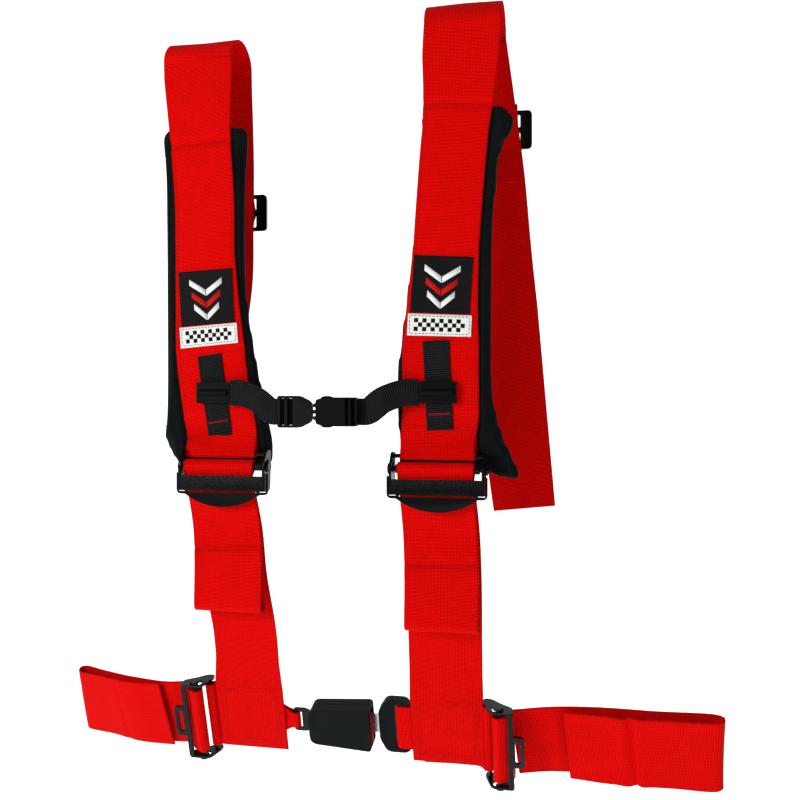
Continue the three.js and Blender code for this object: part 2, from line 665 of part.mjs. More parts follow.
const latch = new THREE.Group();
latch.position.set(0, LATCH_Y, LATCH_Z);
lapPlane.add(latch);
place(latch, 'latch_front_shell', latchShell(-10, LATCH_SPLIT - 0.2, -7.8, 2), 'black_plastic');
place(latch, 'latch_back_shell', latchShell(LATCH_SPLIT + 0.2, 11, 0, 8.6), 'black_plastic');
place(latch, 'latch_frame', latchFrame(), 'black_steel');
place(latch, 'latch_button', latchButton(), 'red_plastic');
place(latch, 'latch_spring', latchSpring(), 'bare_steel');
place(latch, 'latch_pawl', latchPawl(), 'bare_steel');
place(latch, 'tongue_plate', tonguePlate(), 'bare_steel');
place(latch, 'tongue_cover', tongueCover(), 'black_plastic');
place(lapPlane, 'latch_loop_webbing', narrowLoop({
  barX: -45, barY: 2.4 + LATCH_Y, turnRadius: 3.2, straight: 1, endX: -84, width: 17,
}), 'red_webbing').position.z = LATCH_Z;
place(lapPlane, 'tongue_loop_webbing', narrowLoop({
  barX: 64.4, barY: 5 + LATCH_Y, turnRadius: 3.2, straight: 8, endX: 112, width: LATCH_WEB,
}), 'red_webbing').position.z = LATCH_Z;

export default harness;
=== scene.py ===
import math

import bpy
import bmesh
import numpy as np
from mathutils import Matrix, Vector
from mathutils.bvhtree import BVHTree


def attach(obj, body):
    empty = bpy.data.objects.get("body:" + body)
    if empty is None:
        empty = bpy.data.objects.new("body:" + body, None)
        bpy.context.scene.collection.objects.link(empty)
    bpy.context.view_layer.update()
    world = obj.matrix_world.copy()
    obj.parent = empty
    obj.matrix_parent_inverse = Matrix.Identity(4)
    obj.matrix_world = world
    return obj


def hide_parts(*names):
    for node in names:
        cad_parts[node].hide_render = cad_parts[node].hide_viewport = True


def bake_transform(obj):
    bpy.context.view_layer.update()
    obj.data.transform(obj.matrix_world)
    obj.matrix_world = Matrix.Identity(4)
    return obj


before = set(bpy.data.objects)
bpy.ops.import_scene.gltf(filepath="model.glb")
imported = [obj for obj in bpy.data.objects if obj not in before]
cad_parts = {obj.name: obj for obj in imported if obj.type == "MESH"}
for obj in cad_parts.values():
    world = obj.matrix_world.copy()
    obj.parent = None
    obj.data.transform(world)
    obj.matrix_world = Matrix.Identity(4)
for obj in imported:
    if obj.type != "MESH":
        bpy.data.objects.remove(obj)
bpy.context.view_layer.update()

# Racing harness: webbing, pads, labels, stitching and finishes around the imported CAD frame.
# Metres, +Z up, the front faces -Y. The origin is on the harness bar, midway between the loops.
# Tables of route points are in millimetres and pass through mm().

MM = 0.001
SHOULDER_WEB = 72 * MM
LATCH_WEB = 48 * MM
GATHERED_WEB = 17 * MM
STERNUM_WEB = 25 * MM
WEB_THICK = 1.6 * MM
NARROW_THICK = 1.2 * MM
LAYER = 2.0 * MM
PAD_WEB_Y = -26 * MM
PAD_FRONT = -24.8 * MM
PAD_BACK = -12.8 * MM
ROLL_Y = -37 * MM
ROLL_Z = -401.5 * MM
WRAP_R = 5.5 * MM
UPPER_BAR = (-30 * MM, -390 * MM)
UPPER_BAR_R = 2 * MM
LAP_FIXED_BAR = 10.5 * MM
LAP_FIXED_BAR_Y = -0.5 * MM
LAP_LEAN = math.radians(16)
LAP_Y = 20 * MM
LAP_Z = -660 * MM
LAP_ROLL_Y = -9 * MM
LATCH_Y = -2.6 * MM
LATCH_Z = -1 * MM
KEEPER_Z = -331 * MM
FOOT_SEAM_Z = -372 * MM
STERNUM_Y = -45 * MM
STERNUM_Z = -349 * MM
ROUTE_STEP = 2.5 * MM

X_AXIS = np.array([1.0, 0.0, 0.0])
Z_AXIS = np.array([0.0, 0.0, 1.0])
LAP_UP = np.array([0.0, -math.sin(LAP_LEAN), math.cos(LAP_LEAN)])

CAMERA_PLACE = (0.2469, -0.851, -0.338)
CAMERA_TARGET = (0.066, 0.0, -0.338)
CAMERA_LENS = 40.5
LIGHT_TARGET = (0.03, 0, -0.36)
ROOM_STRENGTH = 0.17

SIDES = {
    "left": {
        "outward": -1,
        "rollX": -104,
        "frontLine": [(-106, -384), (-111, -348), (-118, -298), (-124, -202), (-125, -141), (-130, -70)],
        "barX": -130,
        "loopLean": -5,
        "loopRise": 0,
        "loopRadius": 20.5,
        "rearLine": [
            (-131, 30, -100), (-134, 36, -142), (-137, 42, -210), (-147, 44, -280), (-150, 45, -330),
        ],
        "rearSlide": (-134, 36, -142),
        "pad": [
            (-175, -66, 12), (-82, -66, 12), (-78, -238, 30), (-60, -340, 20), (-54, -384, 8),
            (-60, -411, 8), (-150, -412, 12), (-173, -384, 16),
        ],
        "label": (-122, -240),
        "padSeam": -84,
        "keeperTop": (-119, -294),
        "keeperFoot": (-107, -374),
        "lowerLine": [(-104, -36.8, -412), (-99, -24, -461), (-97, -16, -510), (-91, -5, -570)],
        "rearShare": 1.0,
        "strapFootX": -92,
        "lowerShare": 0.93,
        "tailLine": [(-104, -39.8, -413), (-100, -31, -461), (-98, -32, -493), (-99, -31, -538)],
        "lapRollX": -147,
        "lapZ": -4,
        "lapBelt": [(-161, 2), (-190, 5), (-235, 18), (-275, 34), (-307, 46)],
        "lapFold": (-311, 41),
        "lapReturn": [(-307, 35), (-270, 21), (-230, 7), (-188, -1)],
        "lapDroop": 20,
        "beltCrease": 0.25,
        "buckleX": -42.6,
        "buckleBack": 3.2,
    },
    "right": {
        "outward": 1,
        "rollX": 107.5,
        "frontLine": [(108, -384), (110, -350), (110, -284), (115, -196), (121, -116), (126, -62)],
        "barX": 130,
        "loopLean": 0,
        "loopRise": 11,
        "loopRadius": 26,
        "rearLine": [(141, 36, -72), (147, 41, -120), (154, 47, -200), (168, 55, -330), (181, 60, -447)],
        "rearSlide": (141, 36, -72),
        "pad": [
            (90, -62, 12), (166, -60, 10), (181, -76, 8), (169, -112, 20), (163, -198, 30),
            (162, -330, 30), (184, -419, 6), (160, -414, 4), (152, -411, 6), (66, -411, 18),
            (60, -320, 30), (76, -198, 30),
        ],
        "label": (111, -233),
        "padSeam": -64,
        "keeperTop": (106, -283),
        "keeperFoot": (110, -366),
        "lowerLine": [(107.5, -36.8, -412), (111, -24, -461), (112, -16, -510), (111, -5, -570)],
        "rearShare": 0.86,
        "strapFootX": 110,
        "lowerShare": 0.985,
        "tailLine": [(107.5, -39.8, -413), (110, -31, -461), (111.5, -32, -503), (111, -31, -547)],
        "lapRollX": 160.5,
        "lapZ": -10,
        "lapBelt": [(174.5, 2), (205, 5), (250, 2), (300, -4), (358, -12)],
        "lapFold": (363, -17),
        "lapReturn": [(358, -22), (320, -19), (270, -12), (224, -4)],
        "lapDroop": -19,
        "beltCrease": 1.0,
        "buckleX": 36.6,
        "buckleBack": 5.3,
    },
}


# ---- camera, light and stage

def make_camera():
    camera = bpy.data.objects.new("camera", bpy.data.cameras.new("camera"))
    bpy.context.scene.collection.objects.link(camera)
    camera.data.lens = CAMERA_LENS
    camera.data.sensor_width = 36
    camera.location = CAMERA_PLACE
    aim = Vector(CAMERA_TARGET) - Vector(CAMERA_PLACE)
    camera.rotation_euler = aim.to_track_quat("-Z", "Y").to_euler()
    bpy.context.scene.camera = camera


def area_light(name, place, size, power):
    light = bpy.data.objects.new(name, bpy.data.lights.new(name, "AREA"))
    bpy.context.scene.collection.objects.link(light)
    light.data.shape = "SQUARE"
    light.data.size = size
    light.data.energy = power
    light.location = place
    light.rotation_euler = (Vector(LIGHT_TARGET) - Vector(place)).to_track_quat("-Z", "Y").to_euler()


def light_scene():
    world = bpy.data.worlds.new("studio")
    bpy.context.scene.world = world
    world.use_nodes = True
    nodes, links = world.node_tree.nodes, world.node_tree.links
    # The room is dim, but it is seen as white paper.
    seen = nodes.new("ShaderNodeLightPath").outputs["Is Camera Ray"]
    strength = nodes.new("ShaderNodeMapRange")
    strength.inputs["To Min"].default_value = ROOM_STRENGTH
    strength.inputs["To Max"].default_value = 1.0
    links.new(seen, strength.inputs["Value"])
    links.new(strength.outputs["Result"], nodes["Background"].inputs["Strength"])
    nodes["Background"].inputs["Color"].default_value = (1, 1, 1, 1)
    area_light("key_light", (-1.2, -1.4, 0.1), 0.7, 30)
    area_light("fill_light", (1.1, -1.5, -0.6), 1.0, 6)
    area_light("rim_light", (0.5, 1.5, 0.6), 1.0, 5)


def backdrop():
    """A pale floor that curves up into a wall, well behind and below the harness."""
    floor_z, wall_y, bend, half_width, top = -1.3, 2.4, 0.9, 6.0, 4.5
    profile = [(-5.0, floor_z), (wall_y - bend, floor_z)]
    for i in range(1, 13):
        angle = math.pi / 2 * i / 12
        profile.append((wall_y - bend + bend * math.sin(angle), floor_z + bend - bend * math.cos(angle)))
    profile.append((wall_y, top))
    verts = [(x, y, z) for y, z in profile for x in (-half_width, half_width)]
    faces = [(2 * i, 2 * i + 1, 2 * i + 3, 2 * i + 2) for i in range(len(profile) - 1)]
    mesh = bpy.data.meshes.new("backdrop")
    mesh.from_pydata(verts, [], faces)
    mesh.shade_smooth()
    mesh.materials.append(paper())
    sheet = bpy.data.objects.new("backdrop", mesh)
    bpy.context.scene.collection.objects.link(sheet)


# ---- materials

class Graph:
    """A short way to write a material's nodes."""

    def __init__(self, name, **values):
        self.material = bpy.data.materials.new(name)
        self.material.use_nodes = True
        self.tree = self.material.node_tree
        self.shader = self.tree.nodes["Principled BSDF"]
        for socket, value in values.items():
            self.shader.inputs[socket.replace("_", " ")].default_value = value

    def link(self, value, socket):
        if isinstance(value, bpy.types.NodeSocket):
            self.tree.links.new(value, socket)
        else:
            socket.default_value = value

    def math(self, operation, a, b=0.0):
        node = self.tree.nodes.new("ShaderNodeMath")
        node.operation = operation
        self.link(a, node.inputs[0])
        self.link(b, node.inputs[1])
        return node.outputs[0]

    def mix(self, factor, a, b):
        node = self.tree.nodes.new("ShaderNodeMix")
        node.data_type = "RGBA"
        self.link(factor, node.inputs["Factor"])
        self.link(a, node.inputs[6])
        self.link(b, node.inputs[7])
        return node.outputs[2]

    def noise(self, vector, scale, detail=2.0, rough=0.5):
        node = self.tree.nodes.new("ShaderNodeTexNoise")
        node.inputs["Scale"].default_value = scale
        node.inputs["Detail"].default_value = detail
        node.inputs["Roughness"].default_value = rough
        self.link(vector, node.inputs["Vector"])
        return node.outputs["Fac"]

    def spread(self, value, low, high, out_low=0.0, out_high=1.0):
        node = self.tree.nodes.new("ShaderNodeMapRange")
        self.link(value, node.inputs["Value"])
        sockets = ("From Min", "From Max", "To Min", "To Max")
        for socket, number in zip(sockets, (low, high, out_low, out_high)):
            node.inputs[socket].default_value = number
        return node.outputs["Result"]

    def attribute(self, name):
        node = self.tree.nodes.new("ShaderNodeAttribute")
        node.attribute_name = name
        return node.outputs["Vector"]

    def place(self):
        return self.tree.nodes.new("ShaderNodeTexCoord").outputs["Object"]

    def split(self, vector):
        node = self.tree.nodes.new("ShaderNodeSeparateXYZ")
        self.link(vector, node.inputs[0])
        return node.outputs[0], node.outputs[1], node.outputs[2]

    def edges(self, low, high):
        geometry = self.tree.nodes.new("ShaderNodeNewGeometry")
        return self.spread(geometry.outputs["Pointiness"], low, high)

    def finish(self, colour=None, roughness=None, height=None, distance=0.0003, strength=1.0):
        if colour is not None:
            self.link(colour, self.shader.inputs["Base Color"])
        if roughness is not None:
            self.link(roughness, self.shader.inputs["Roughness"])
        if height is not None:
            bump = self.tree.nodes.new("ShaderNodeBump")
            bump.inputs["Strength"].default_value = strength
            bump.inputs["Distance"].default_value = distance
            self.link(height, bump.inputs["Height"])
            self.tree.links.new(bump.outputs["Normal"], self.shader.inputs["Normal"])
        return self.material


def rgb(red, green, blue):
    return (red, green, blue, 1.0)


def toned(colour, share, lift=0.0):
    return rgb(*(min(1.0, share * c + lift) for c in colour[:3]))


def paper():
    graph = Graph("backdrop_paper", Roughness=0.9, Emission_Color=rgb(1, 1, 1), Emission_Strength=0.7)
    grain = graph.noise(graph.place(), 40.0)
    return graph.finish(graph.mix(grain, rgb(0.93, 0.93, 0.93), rgb(0.96, 0.96, 0.96)))


def webbing_material(name, crest, groove_shade, rib, column, sheen):
    """Woven tape: cross ribs at the rib pitch, staggered between columns that run along it."""
    graph = Graph(name, Sheen_Weight=sheen, Sheen_Roughness=0.4, Specular_IOR_Level=0.03)
    place = graph.place()
    along, across, edge = graph.split(graph.attribute("weave"))
    waver = graph.spread(graph.noise(place, 260.0), 0, 1, -0.2 * MM, 0.2 * MM)
    along = graph.math("ADD", along, waver)
    turn = 2 * math.pi
    lane = graph.math("FLOOR", graph.math("DIVIDE", across, column))
    stagger = graph.math("MULTIPLY", graph.math("MODULO", lane, 2.0), math.pi * 0.22)
    phase = graph.math("ADD", graph.math("MULTIPLY", along, turn / rib), stagger)
    ribs = graph.spread(graph.math("SINE", phase), -1, 1)
    lanes = graph.math("ABSOLUTE", graph.math("SINE", graph.math("MULTIPLY", across, math.pi / column)))
    lanes = graph.math("POWER", lanes, 0.35)
    fibre = graph.noise(place, 2600.0, 3.0, 0.6)
    height = graph.math("ADD", graph.math("MULTIPLY", ribs, graph.spread(lanes, 0, 1, 0.35, 1.0)),
                        graph.math("MULTIPLY", fibre, 0.5))
    # The grooves between the ribs and between the columns are painted in the groove colour: painted shade in
    # the weave's recesses.
    shade = graph.spread(height, 0.45, 1.05, 0.0, 1.0)
    colour = graph.mix(shade, groove_shade, crest)
    cloudy = graph.spread(graph.noise(place, 60.0, 5.0, 0.65), 0.35, 0.65, 0.0, 1.0)
    colour = graph.mix(graph.math("MULTIPLY", cloudy, 0.45), colour, toned(crest, 0.7))
    # The last few percent of the width at each edge is painted towards the groove colour: painted shade along
    # the rolled edges.
    edge_shade = graph.spread(edge, 0.93, 1.0)
    colour = graph.mix(graph.math("MULTIPLY", edge_shade, 0.45), colour, groove_shade)
    rough = graph.spread(fibre, 0, 1, 0.62, 0.85)
    return graph.finish(colour, rough, height, 0.4 * MM, 1.0)


def fabric_material():
    """Closely knitted pad cover with a soft nap."""
    graph = Graph("pad_fabric", Sheen_Weight=0.03, Sheen_Roughness=0.45, Specular_IOR_Level=0.06)
    place = graph.place()
    x, _, z = graph.split(place)
    pitch = 2 * math.pi / (1.5 * MM)
    knit = graph.math("MULTIPLY", graph.math("SINE", graph.math("MULTIPLY", x, pitch)),
                      graph.math("SINE", graph.math("MULTIPLY", z, pitch)))
    fibre = graph.noise(place, 1900.0, 3.0, 0.65)
    cloudy = graph.noise(place, 45.0, 3.0)
    height = graph.math("ADD", graph.spread(knit, -1, 1, 0, 0.7), fibre)
    shade = graph.spread(height, 0.3, 1.4)
    colour = graph.mix(shade, rgb(0.0005, 0.0008, 0.0009), rgb(0.0055, 0.0078, 0.0082))
    colour = graph.mix(graph.spread(cloudy, 0.3, 0.7, 0.0, 0.4), colour, rgb(0.0018, 0.0026, 0.0028))
    return graph.finish(colour, graph.spread(fibre, 0, 1, 0.8, 0.98), height, 0.4 * MM, 0.8)


def steel_material(name, colour, wear_and_highlight, metallic, rough):
    """Coated or bare steel: fine grain in the gloss, painted lighter at the edges, partly as wear and partly
    as a painted highlight.
    """
    graph = Graph(name, Metallic=metallic, Specular_IOR_Level=0.16)
    place = graph.place()
    grain = graph.noise(place, 900.0, 3.0, 0.5)
    smears = graph.noise(place, 60.0, 3.0)
    tone = graph.mix(graph.spread(smears, 0.35, 0.7), colour, toned(colour, 0.7))
    # Pointy edges are painted lighter: partly edge wear, partly a painted highlight.
    wear_and_highlight_mask = graph.math("MULTIPLY", graph.edges(0.56, 0.66), graph.spread(grain, 0.35, 0.65, 0, 0.6))
    tone = graph.mix(wear_and_highlight_mask, tone, wear_and_highlight)
    gloss = graph.spread(graph.math("ADD", grain, smears), 0.7, 1.4, rough * 0.8, rough * 1.35)
    return graph.finish(tone, gloss, grain, 0.02 * MM, 0.4)


def plastic_material(name, colour, rough, grain_scale=1500.0):
    """Moulded plastic with a fine spark-eroded grain."""
    graph = Graph(name, Specular_IOR_Level=0.05)
    place = graph.place()
    grain = graph.noise(place, grain_scale, 2.0, 0.6)
    cloudy = graph.noise(place, 50.0, 3.0)
    tone = graph.mix(graph.spread(cloudy, 0.3, 0.7), colour, toned(colour, 0.75))
    # Pointy edges are painted lighter: a painted highlight along them.
    edge_highlight = graph.math("MULTIPLY", graph.edges(0.54, 0.64), 0.3)
    tone = graph.mix(edge_highlight, tone, toned(colour, 2.5, 0.01))
    gloss = graph.spread(grain, 0.3, 0.7, rough * 0.85, rough * 1.15)
    return graph.finish(tone, gloss, grain, 0.12 * MM, 0.7)


def thread_material(name, colour):
    graph = Graph(name, Sheen_Weight=0.02, Roughness=0.7, Specular_IOR_Level=0.1)
    twist = graph.noise(graph.place(), 3200.0, 2.0)
    return graph.finish(graph.mix(twist, toned(colour, 0.55), colour), None, twist, 0.15 * MM, 0.8)


def label_material(name, colour, thread):
    """Satin-woven label cloth."""
    graph = Graph(name, Sheen_Weight=0.02, Specular_IOR_Level=0.1)
    along, across, _ = graph.split(graph.attribute("weave"))
    pitch = 2 * math.pi / (0.6 * MM)
    satin = graph.math("MULTIPLY", graph.math("SINE", graph.math("MULTIPLY", along, pitch)),
                       graph.math("SINE", graph.math("MULTIPLY", across, pitch * 0.5)))
    fuzz = graph.noise(graph.place(), 2200.0, 2.0)
    height = graph.math("ADD", graph.spread(satin, -1, 1), fuzz)
    tone = graph.mix(graph.spread(height, 0.4, 1.6), thread, colour)
    return graph.finish(tone, graph.spread(fuzz, 0, 1, 0.6, 0.85), height, 0.12 * MM, 0.6)


def make_materials():
    return {
        # For each webbing the second colour is the painted shade of the weave's grooves and rolled edges.
        "red_webbing": webbing_material(
            "red_webbing", rgb(0.95, 0.0016, 0.0008), rgb(0.30, 0.0004, 0.0003), 1.3 * MM, 3.2 * MM, 0.003),
        "black_webbing": webbing_material(
            "black_webbing", rgb(0.016, 0.018, 0.019), rgb(0.001, 0.001, 0.001), 2.1 * MM, 3.1 * MM, 0.01),
        "pad_fabric": fabric_material(),
        # For each steel the second colour is its edge wear and painted highlight.
        "black_steel": steel_material(
            "black_steel", rgb(0.0012, 0.0012, 0.0013), rgb(0.03, 0.03, 0.032), 0.0, 0.24),
        "bare_steel": steel_material(
            "bare_steel", rgb(0.55, 0.56, 0.57), rgb(0.75, 0.75, 0.76), 1.0, 0.28),
        "black_plastic": plastic_material("black_plastic", rgb(0.0018, 0.0024, 0.0025), 0.5),
        "shell_plastic": plastic_material("shell_plastic", rgb(0.004, 0.0062, 0.0066), 0.5, 900.0),
        "red_plastic": plastic_material("red_plastic", rgb(0.19, 0.002, 0.006), 0.5, 1200.0),
        "label_black": label_material("label_black", rgb(0.004, 0.004, 0.005), rgb(0.0015, 0.0015, 0.0015)),
        "label_white": label_material("label_white", rgb(0.82, 0.82, 0.80), rgb(0.55, 0.55, 0.54)),
        "label_red": label_material("label_red", rgb(0.60, 0.004, 0.003), rgb(0.3, 0.002, 0.002)),
        "red_thread": thread_material("red_thread", rgb(0.50, 0.0015, 0.001)),
        "bright_thread": thread_material("bright_thread", rgb(0.75, 0.01, 0.03)),
        "black_thread": thread_material("black_thread", rgb(0.012, 0.013, 0.014)),
    }


# ---- lines

def mm(points):
    return np.array(points, float) * MM


def even(line, step=ROUTE_STEP):
    """The same line at even steps."""
    line = np.asarray(line, float)
    gaps = np.linalg.norm(np.diff(line, axis=0), axis=1)
    along = np.concatenate([[0], np.cumsum(gaps)])
    marks = np.linspace(0, along[-1], max(2, round(along[-1] / step) + 1))
    return np.column_stack([np.interp(marks, along, line[:, k]) for k in range(3)])


def smooth(points, step=ROUTE_STEP):
    """A centripetal Catmull-Rom line through the points, at even steps."""
    p = np.asarray(points, float)
    p = np.vstack([2 * p[0] - p[1], p, 2 * p[-1] - p[-2]])
    t = np.linspace(0, 1, 30, endpoint=False)[:, None]
    line = []
    for a, b, c, d in zip(p, p[1:], p[2:], p[3:]):
        da, db, dc = (np.linalg.norm(v) ** 0.5 for v in (b - a, c - b, d - c))
        m1 = ((b - a) / da - (c - a) / (da + db) + (c - b) / db) * db
        m2 = ((c - b) / db - (d - b) / (db + dc) + (d - c) / dc) * db
        line.append(b + m1 * t + (3 * (c - b) - 2 * m1 - m2) * t**2 + (2 * (b - c) + m1 + m2) * t**3)
    return even(np.vstack([*line, p[-2:-1]]), step)


def arc(centre, radius, start, stop, step=15, plane="yz"):
    """Points of an arc in degrees: about X from +Y towards +Z, or about Z from +X towards +Y."""
    count = max(2, round(abs(stop - start) / step))
    angles = np.radians(np.linspace(start, stop, count + 1))
    u, v = radius * np.cos(angles), radius * np.sin(angles)
    nothing = np.zeros_like(u)
    offsets = (nothing, u, v) if plane == "yz" else (u, v, nothing)
    return np.array(centre, float) + np.column_stack(offsets)


def chain(*parts):
    """The parts as one line, without repeated points."""
    line = np.vstack([np.atleast_2d(p) for p in parts])
    keep = [True] + [np.linalg.norm(b - a) > 0.3 * MM for a, b in zip(line, line[1:])]
    return line[np.array(keep)]


def lap(points):
    """Points of the leaning lap plane, in the harness frame."""
    p = np.atleast_2d(np.asarray(points, float))
    c, s = math.cos(LAP_LEAN), math.sin(LAP_LEAN)
    return np.column_stack([p[:, 0], LAP_Y + p[:, 1] * c - p[:, 2] * s, LAP_Z + p[:, 1] * s + p[:, 2] * c])


def rounded(corners, steps=6):
    """An outline whose corners are (u, v, radius)."""
    points = np.array([c[:2] for c in corners], float)
    line = []
    for i, (_, _, radius) in enumerate(corners):
        here, before, after = points[i], points[i - 1], points[(i + 1) % len(points)]
        start = here + (before - here) / np.linalg.norm(before - here) * radius
        end = here + (after - here) / np.linalg.norm(after - here) * radius
        for t in np.linspace(0, 1, steps + 1):
            line.append((1 - t) ** 2 * start + 2 * t * (1 - t) * here + t**2 * end)
    return np.array(line)


# ---- pieces

class Shape:
    """The vertices, faces, finishes and weave coordinates of one piece."""

    def __init__(self):
        self.verts, self.faces, self.looks, self.weave = [], [], [], []

    def add(self, verts, faces, look, weave=None):
        start = len(self.verts)
        self.verts.extend(np.asarray(verts).tolist())
        self.faces.extend([tuple(start + i for i in face) for face in faces])
        self.looks.extend([look] * len(faces))
        self.weave.extend(np.zeros((len(verts), 3)).tolist() if weave is None else np.asarray(weave).tolist())

    def build(self, name):
        mesh = bpy.data.meshes.new(name)
        mesh.from_pydata(self.verts, [], self.faces)
        names = list(dict.fromkeys(self.looks))
        for look in names:
            mesh.materials.append(MATERIALS[look])
        mesh.polygons.foreach_set("material_index", [names.index(look) for look in self.looks])
        weave = mesh.attributes.new("weave", "FLOAT_VECTOR", "POINT")
        weave.data.foreach_set("vector", np.array(self.weave, np.float32).ravel())
        mesh.shade_smooth()
        mesh.update()
        piece = bpy.data.objects.new(name, mesh)
        bpy.context.scene.collection.objects.link(piece)
        return piece


def fit(piece, body, slot, *nodes):
    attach(piece, body)
    if nodes:
        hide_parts(*nodes)


def level(u, v):
    return np.zeros(np.broadcast(u, v).shape), np.ones(np.broadcast(u, v).shape)


class Strap:
    """Flat webbing along a line. `form` gives its lift off the line and its width's share, from u and v.

    u runs along it in metres, and v across it from -0.5 to 0.5 of its width.
    """

    def __init__(self, line, width, across=X_AXIS, thick=WEB_THICK, form=level):
        self.line = np.asarray(line, float)
        self.width, self.thick, self.form = width, thick, form
        tangent = np.gradient(self.line, axis=0)
        tangent /= np.linalg.norm(tangent, axis=1)[:, None]
        side = across - (tangent @ across)[:, None] * tangent
        self.side = side / np.linalg.norm(side, axis=1)[:, None]
        self.normal = np.cross(tangent, self.side)
        gaps = np.linalg.norm(np.diff(self.line, axis=0), axis=1)
        self.along = np.concatenate([[0], np.cumsum(gaps)])
        self.length = self.along[-1]

    def at(self, values, u):
        return np.column_stack([np.interp(u, self.along, values[:, k]) for k in range(3)])

    def surface(self, u, v, lift=0.0):
        u, v = np.broadcast_arrays(np.atleast_1d(np.asarray(u, float)), np.atleast_1d(np.asarray(v, float)))
        bump, share = self.form(u, v)
        side, normal = self.at(self.side, u), self.at(self.normal, u)
        return (self.at(self.line, u) + side * (v * self.width * share)[:, None]
                + normal * (lift + bump)[:, None])

    def section(self):
        """Points (across, out) round the section: rounded selvedges, thickened a little."""
        count = max(7, round(self.width / (4.5 * MM)))
        half, r = self.width / 2, self.thick / 2
        flat = np.linspace(-half + 2 * r, half - 2 * r, count)
        lip = np.radians(np.linspace(75, -75, 6))
        edge_out, edge_up = half - r + r * np.cos(lip), 1.12 * r * np.sin(lip)
        across = np.concatenate([flat, edge_out, flat[::-1], -edge_out[::-1]])
        out = np.concatenate([np.full(count, r), edge_up, np.full(count, -r), edge_up[::-1]])
        return across, out

    def add_to(self, shape, look):
        across, out = self.section()
        rows, columns = len(self.line), len(across)
        u = np.repeat(self.along, columns)
        v = np.tile(across / self.width, rows)
        bump, share = self.form(u, v)
        base = np.repeat(self.line, columns, axis=0)
        side = np.repeat(self.side, columns, axis=0)
        normal = np.repeat(self.normal, columns, axis=0)
        lift = np.tile(out, rows) + bump
        verts = base + side * (v * self.width * share)[:, None] + normal * lift[:, None]
        weave = np.column_stack([u, v * self.width, np.abs(2 * v)])
        faces = []
        for i in range(rows - 1):
            a, b = i * columns, (i + 1) * columns
            for j in range(columns):
                k = (j + 1) % columns
                faces.append((a + k, a + j, b + j, b + k))
        faces.append(tuple(range(columns)))
        faces.append(tuple(reversed(range((rows - 1) * columns, rows * columns))))
        shape.add(verts, faces, look, weave)

    def mark(self, z):
        """u where the front half of the line passes a height."""
        rows = np.nonzero(self.line[:, 1] < 0)[0]
        return self.along[rows[np.argmin(np.abs(self.line[rows, 2] - z))]]

    def stitch(self, shape, corners, look="red_thread", face=1, pitch=3.4 * MM, radius=0.32 * MM):
        """A row of stitches through (u, v) corners, both in metres, on the outer face or the inner one."""
        corners = np.asarray(corners, float)
        gaps = np.linalg.norm(np.diff(corners, axis=0), axis=1)
        total = np.concatenate([[0], np.cumsum(gaps)])
        count = max(1, int(total[-1] / pitch))
        starts = (np.arange(count) + 0.14) * total[-1] / count
        ends = starts + 0.72 * total[-1] / count
        lift = face * (self.thick / 2 + 0.15 * radius)
        places = []
        for marks in (starts, ends):
            u = np.interp(marks, total, corners[:, 0])
            v = np.interp(marks, total, corners[:, 1]) / self.width
            places.append(self.surface(u, v, lift))
        normals = self.at(self.normal, np.interp(starts, total, corners[:, 0])) * face
        add_stitches(shape, places[0], places[1], normals, look, radius)

    def box_stitch(self, shape, u0, u1, v0, v1, look="red_thread", face=1):
        self.stitch(shape, [(u0, v0), (u1, v0), (u1, v1), (u0, v1), (u0, v0)], look, face)


def woven(strap, look="red_webbing"):
    shape = Shape()
    strap.add_to(shape, look)
    return shape


# A stitch's sections: (reach along it, fatness, rise off the cloth), as shares of its half length and radius.
STITCH_RINGS = ((-1.0, 0.25, -0.4), (-0.6, 0.85, 0.35), (0.0, 1.0, 0.6), (0.6, 0.85, 0.35), (1.0, 0.25, -0.4))
STITCH_SIDES = 6


def add_stitches(shape, starts, ends, normals, look, radius):
    """Each stitch is a short lump of thread that dives into the cloth at both ends."""
    for start, end, normal in zip(starts, ends, normals):
        along = end - start
        half = np.linalg.norm(along) / 2
        if half < 1e-6:
            continue
        along /= 2 * half
        side = np.cross(along, normal)
        middle = (start + end) / 2
        verts = []
        for reach, fat, rise in STITCH_RINGS:
            centre = middle + along * half * reach + normal * radius * rise
            for k in range(STITCH_SIDES):
                angle = 2 * math.pi * k / STITCH_SIDES
                verts.append(centre + radius * fat * (side * math.cos(angle) + normal * math.sin(angle)))
        last = len(STITCH_RINGS) - 1
        foot = range(last * STITCH_SIDES, (last + 1) * STITCH_SIDES)
        faces = [tuple(range(STITCH_SIDES)), tuple(reversed(foot))]
        for i in range(last):
            for k in range(STITCH_SIDES):
                a, b = i * STITCH_SIDES + k, i * STITCH_SIDES + (k + 1) % STITCH_SIDES
                faces.append((a, a + STITCH_SIDES, b + STITCH_SIDES, b))
        shape.add(verts, faces, look)


def ripple(amount, phase):
    """Slack webbing: slow waves, and edges that lift by turns."""

    def form(u, v):
        u, v = np.broadcast_arrays(u, v)
        wave = 0.6 * np.sin(57 * u + phase) + 0.4 * np.sin(31 * u + 2.1 * phase)
        roll = np.sin(41 * u + 1.7 * phase) * 2 * v
        return amount * (0.5 * wave + 0.6 * roll - 0.6 * (2 * v) ** 2), np.ones_like(u)

    return form


def bell(value, centre, width):
    return np.exp(-(((value - centre) / width) ** 2))


def ease(t):
    return t * t * (3 - 2 * t)


# ---- shoulder webbing, with what is sewn to it

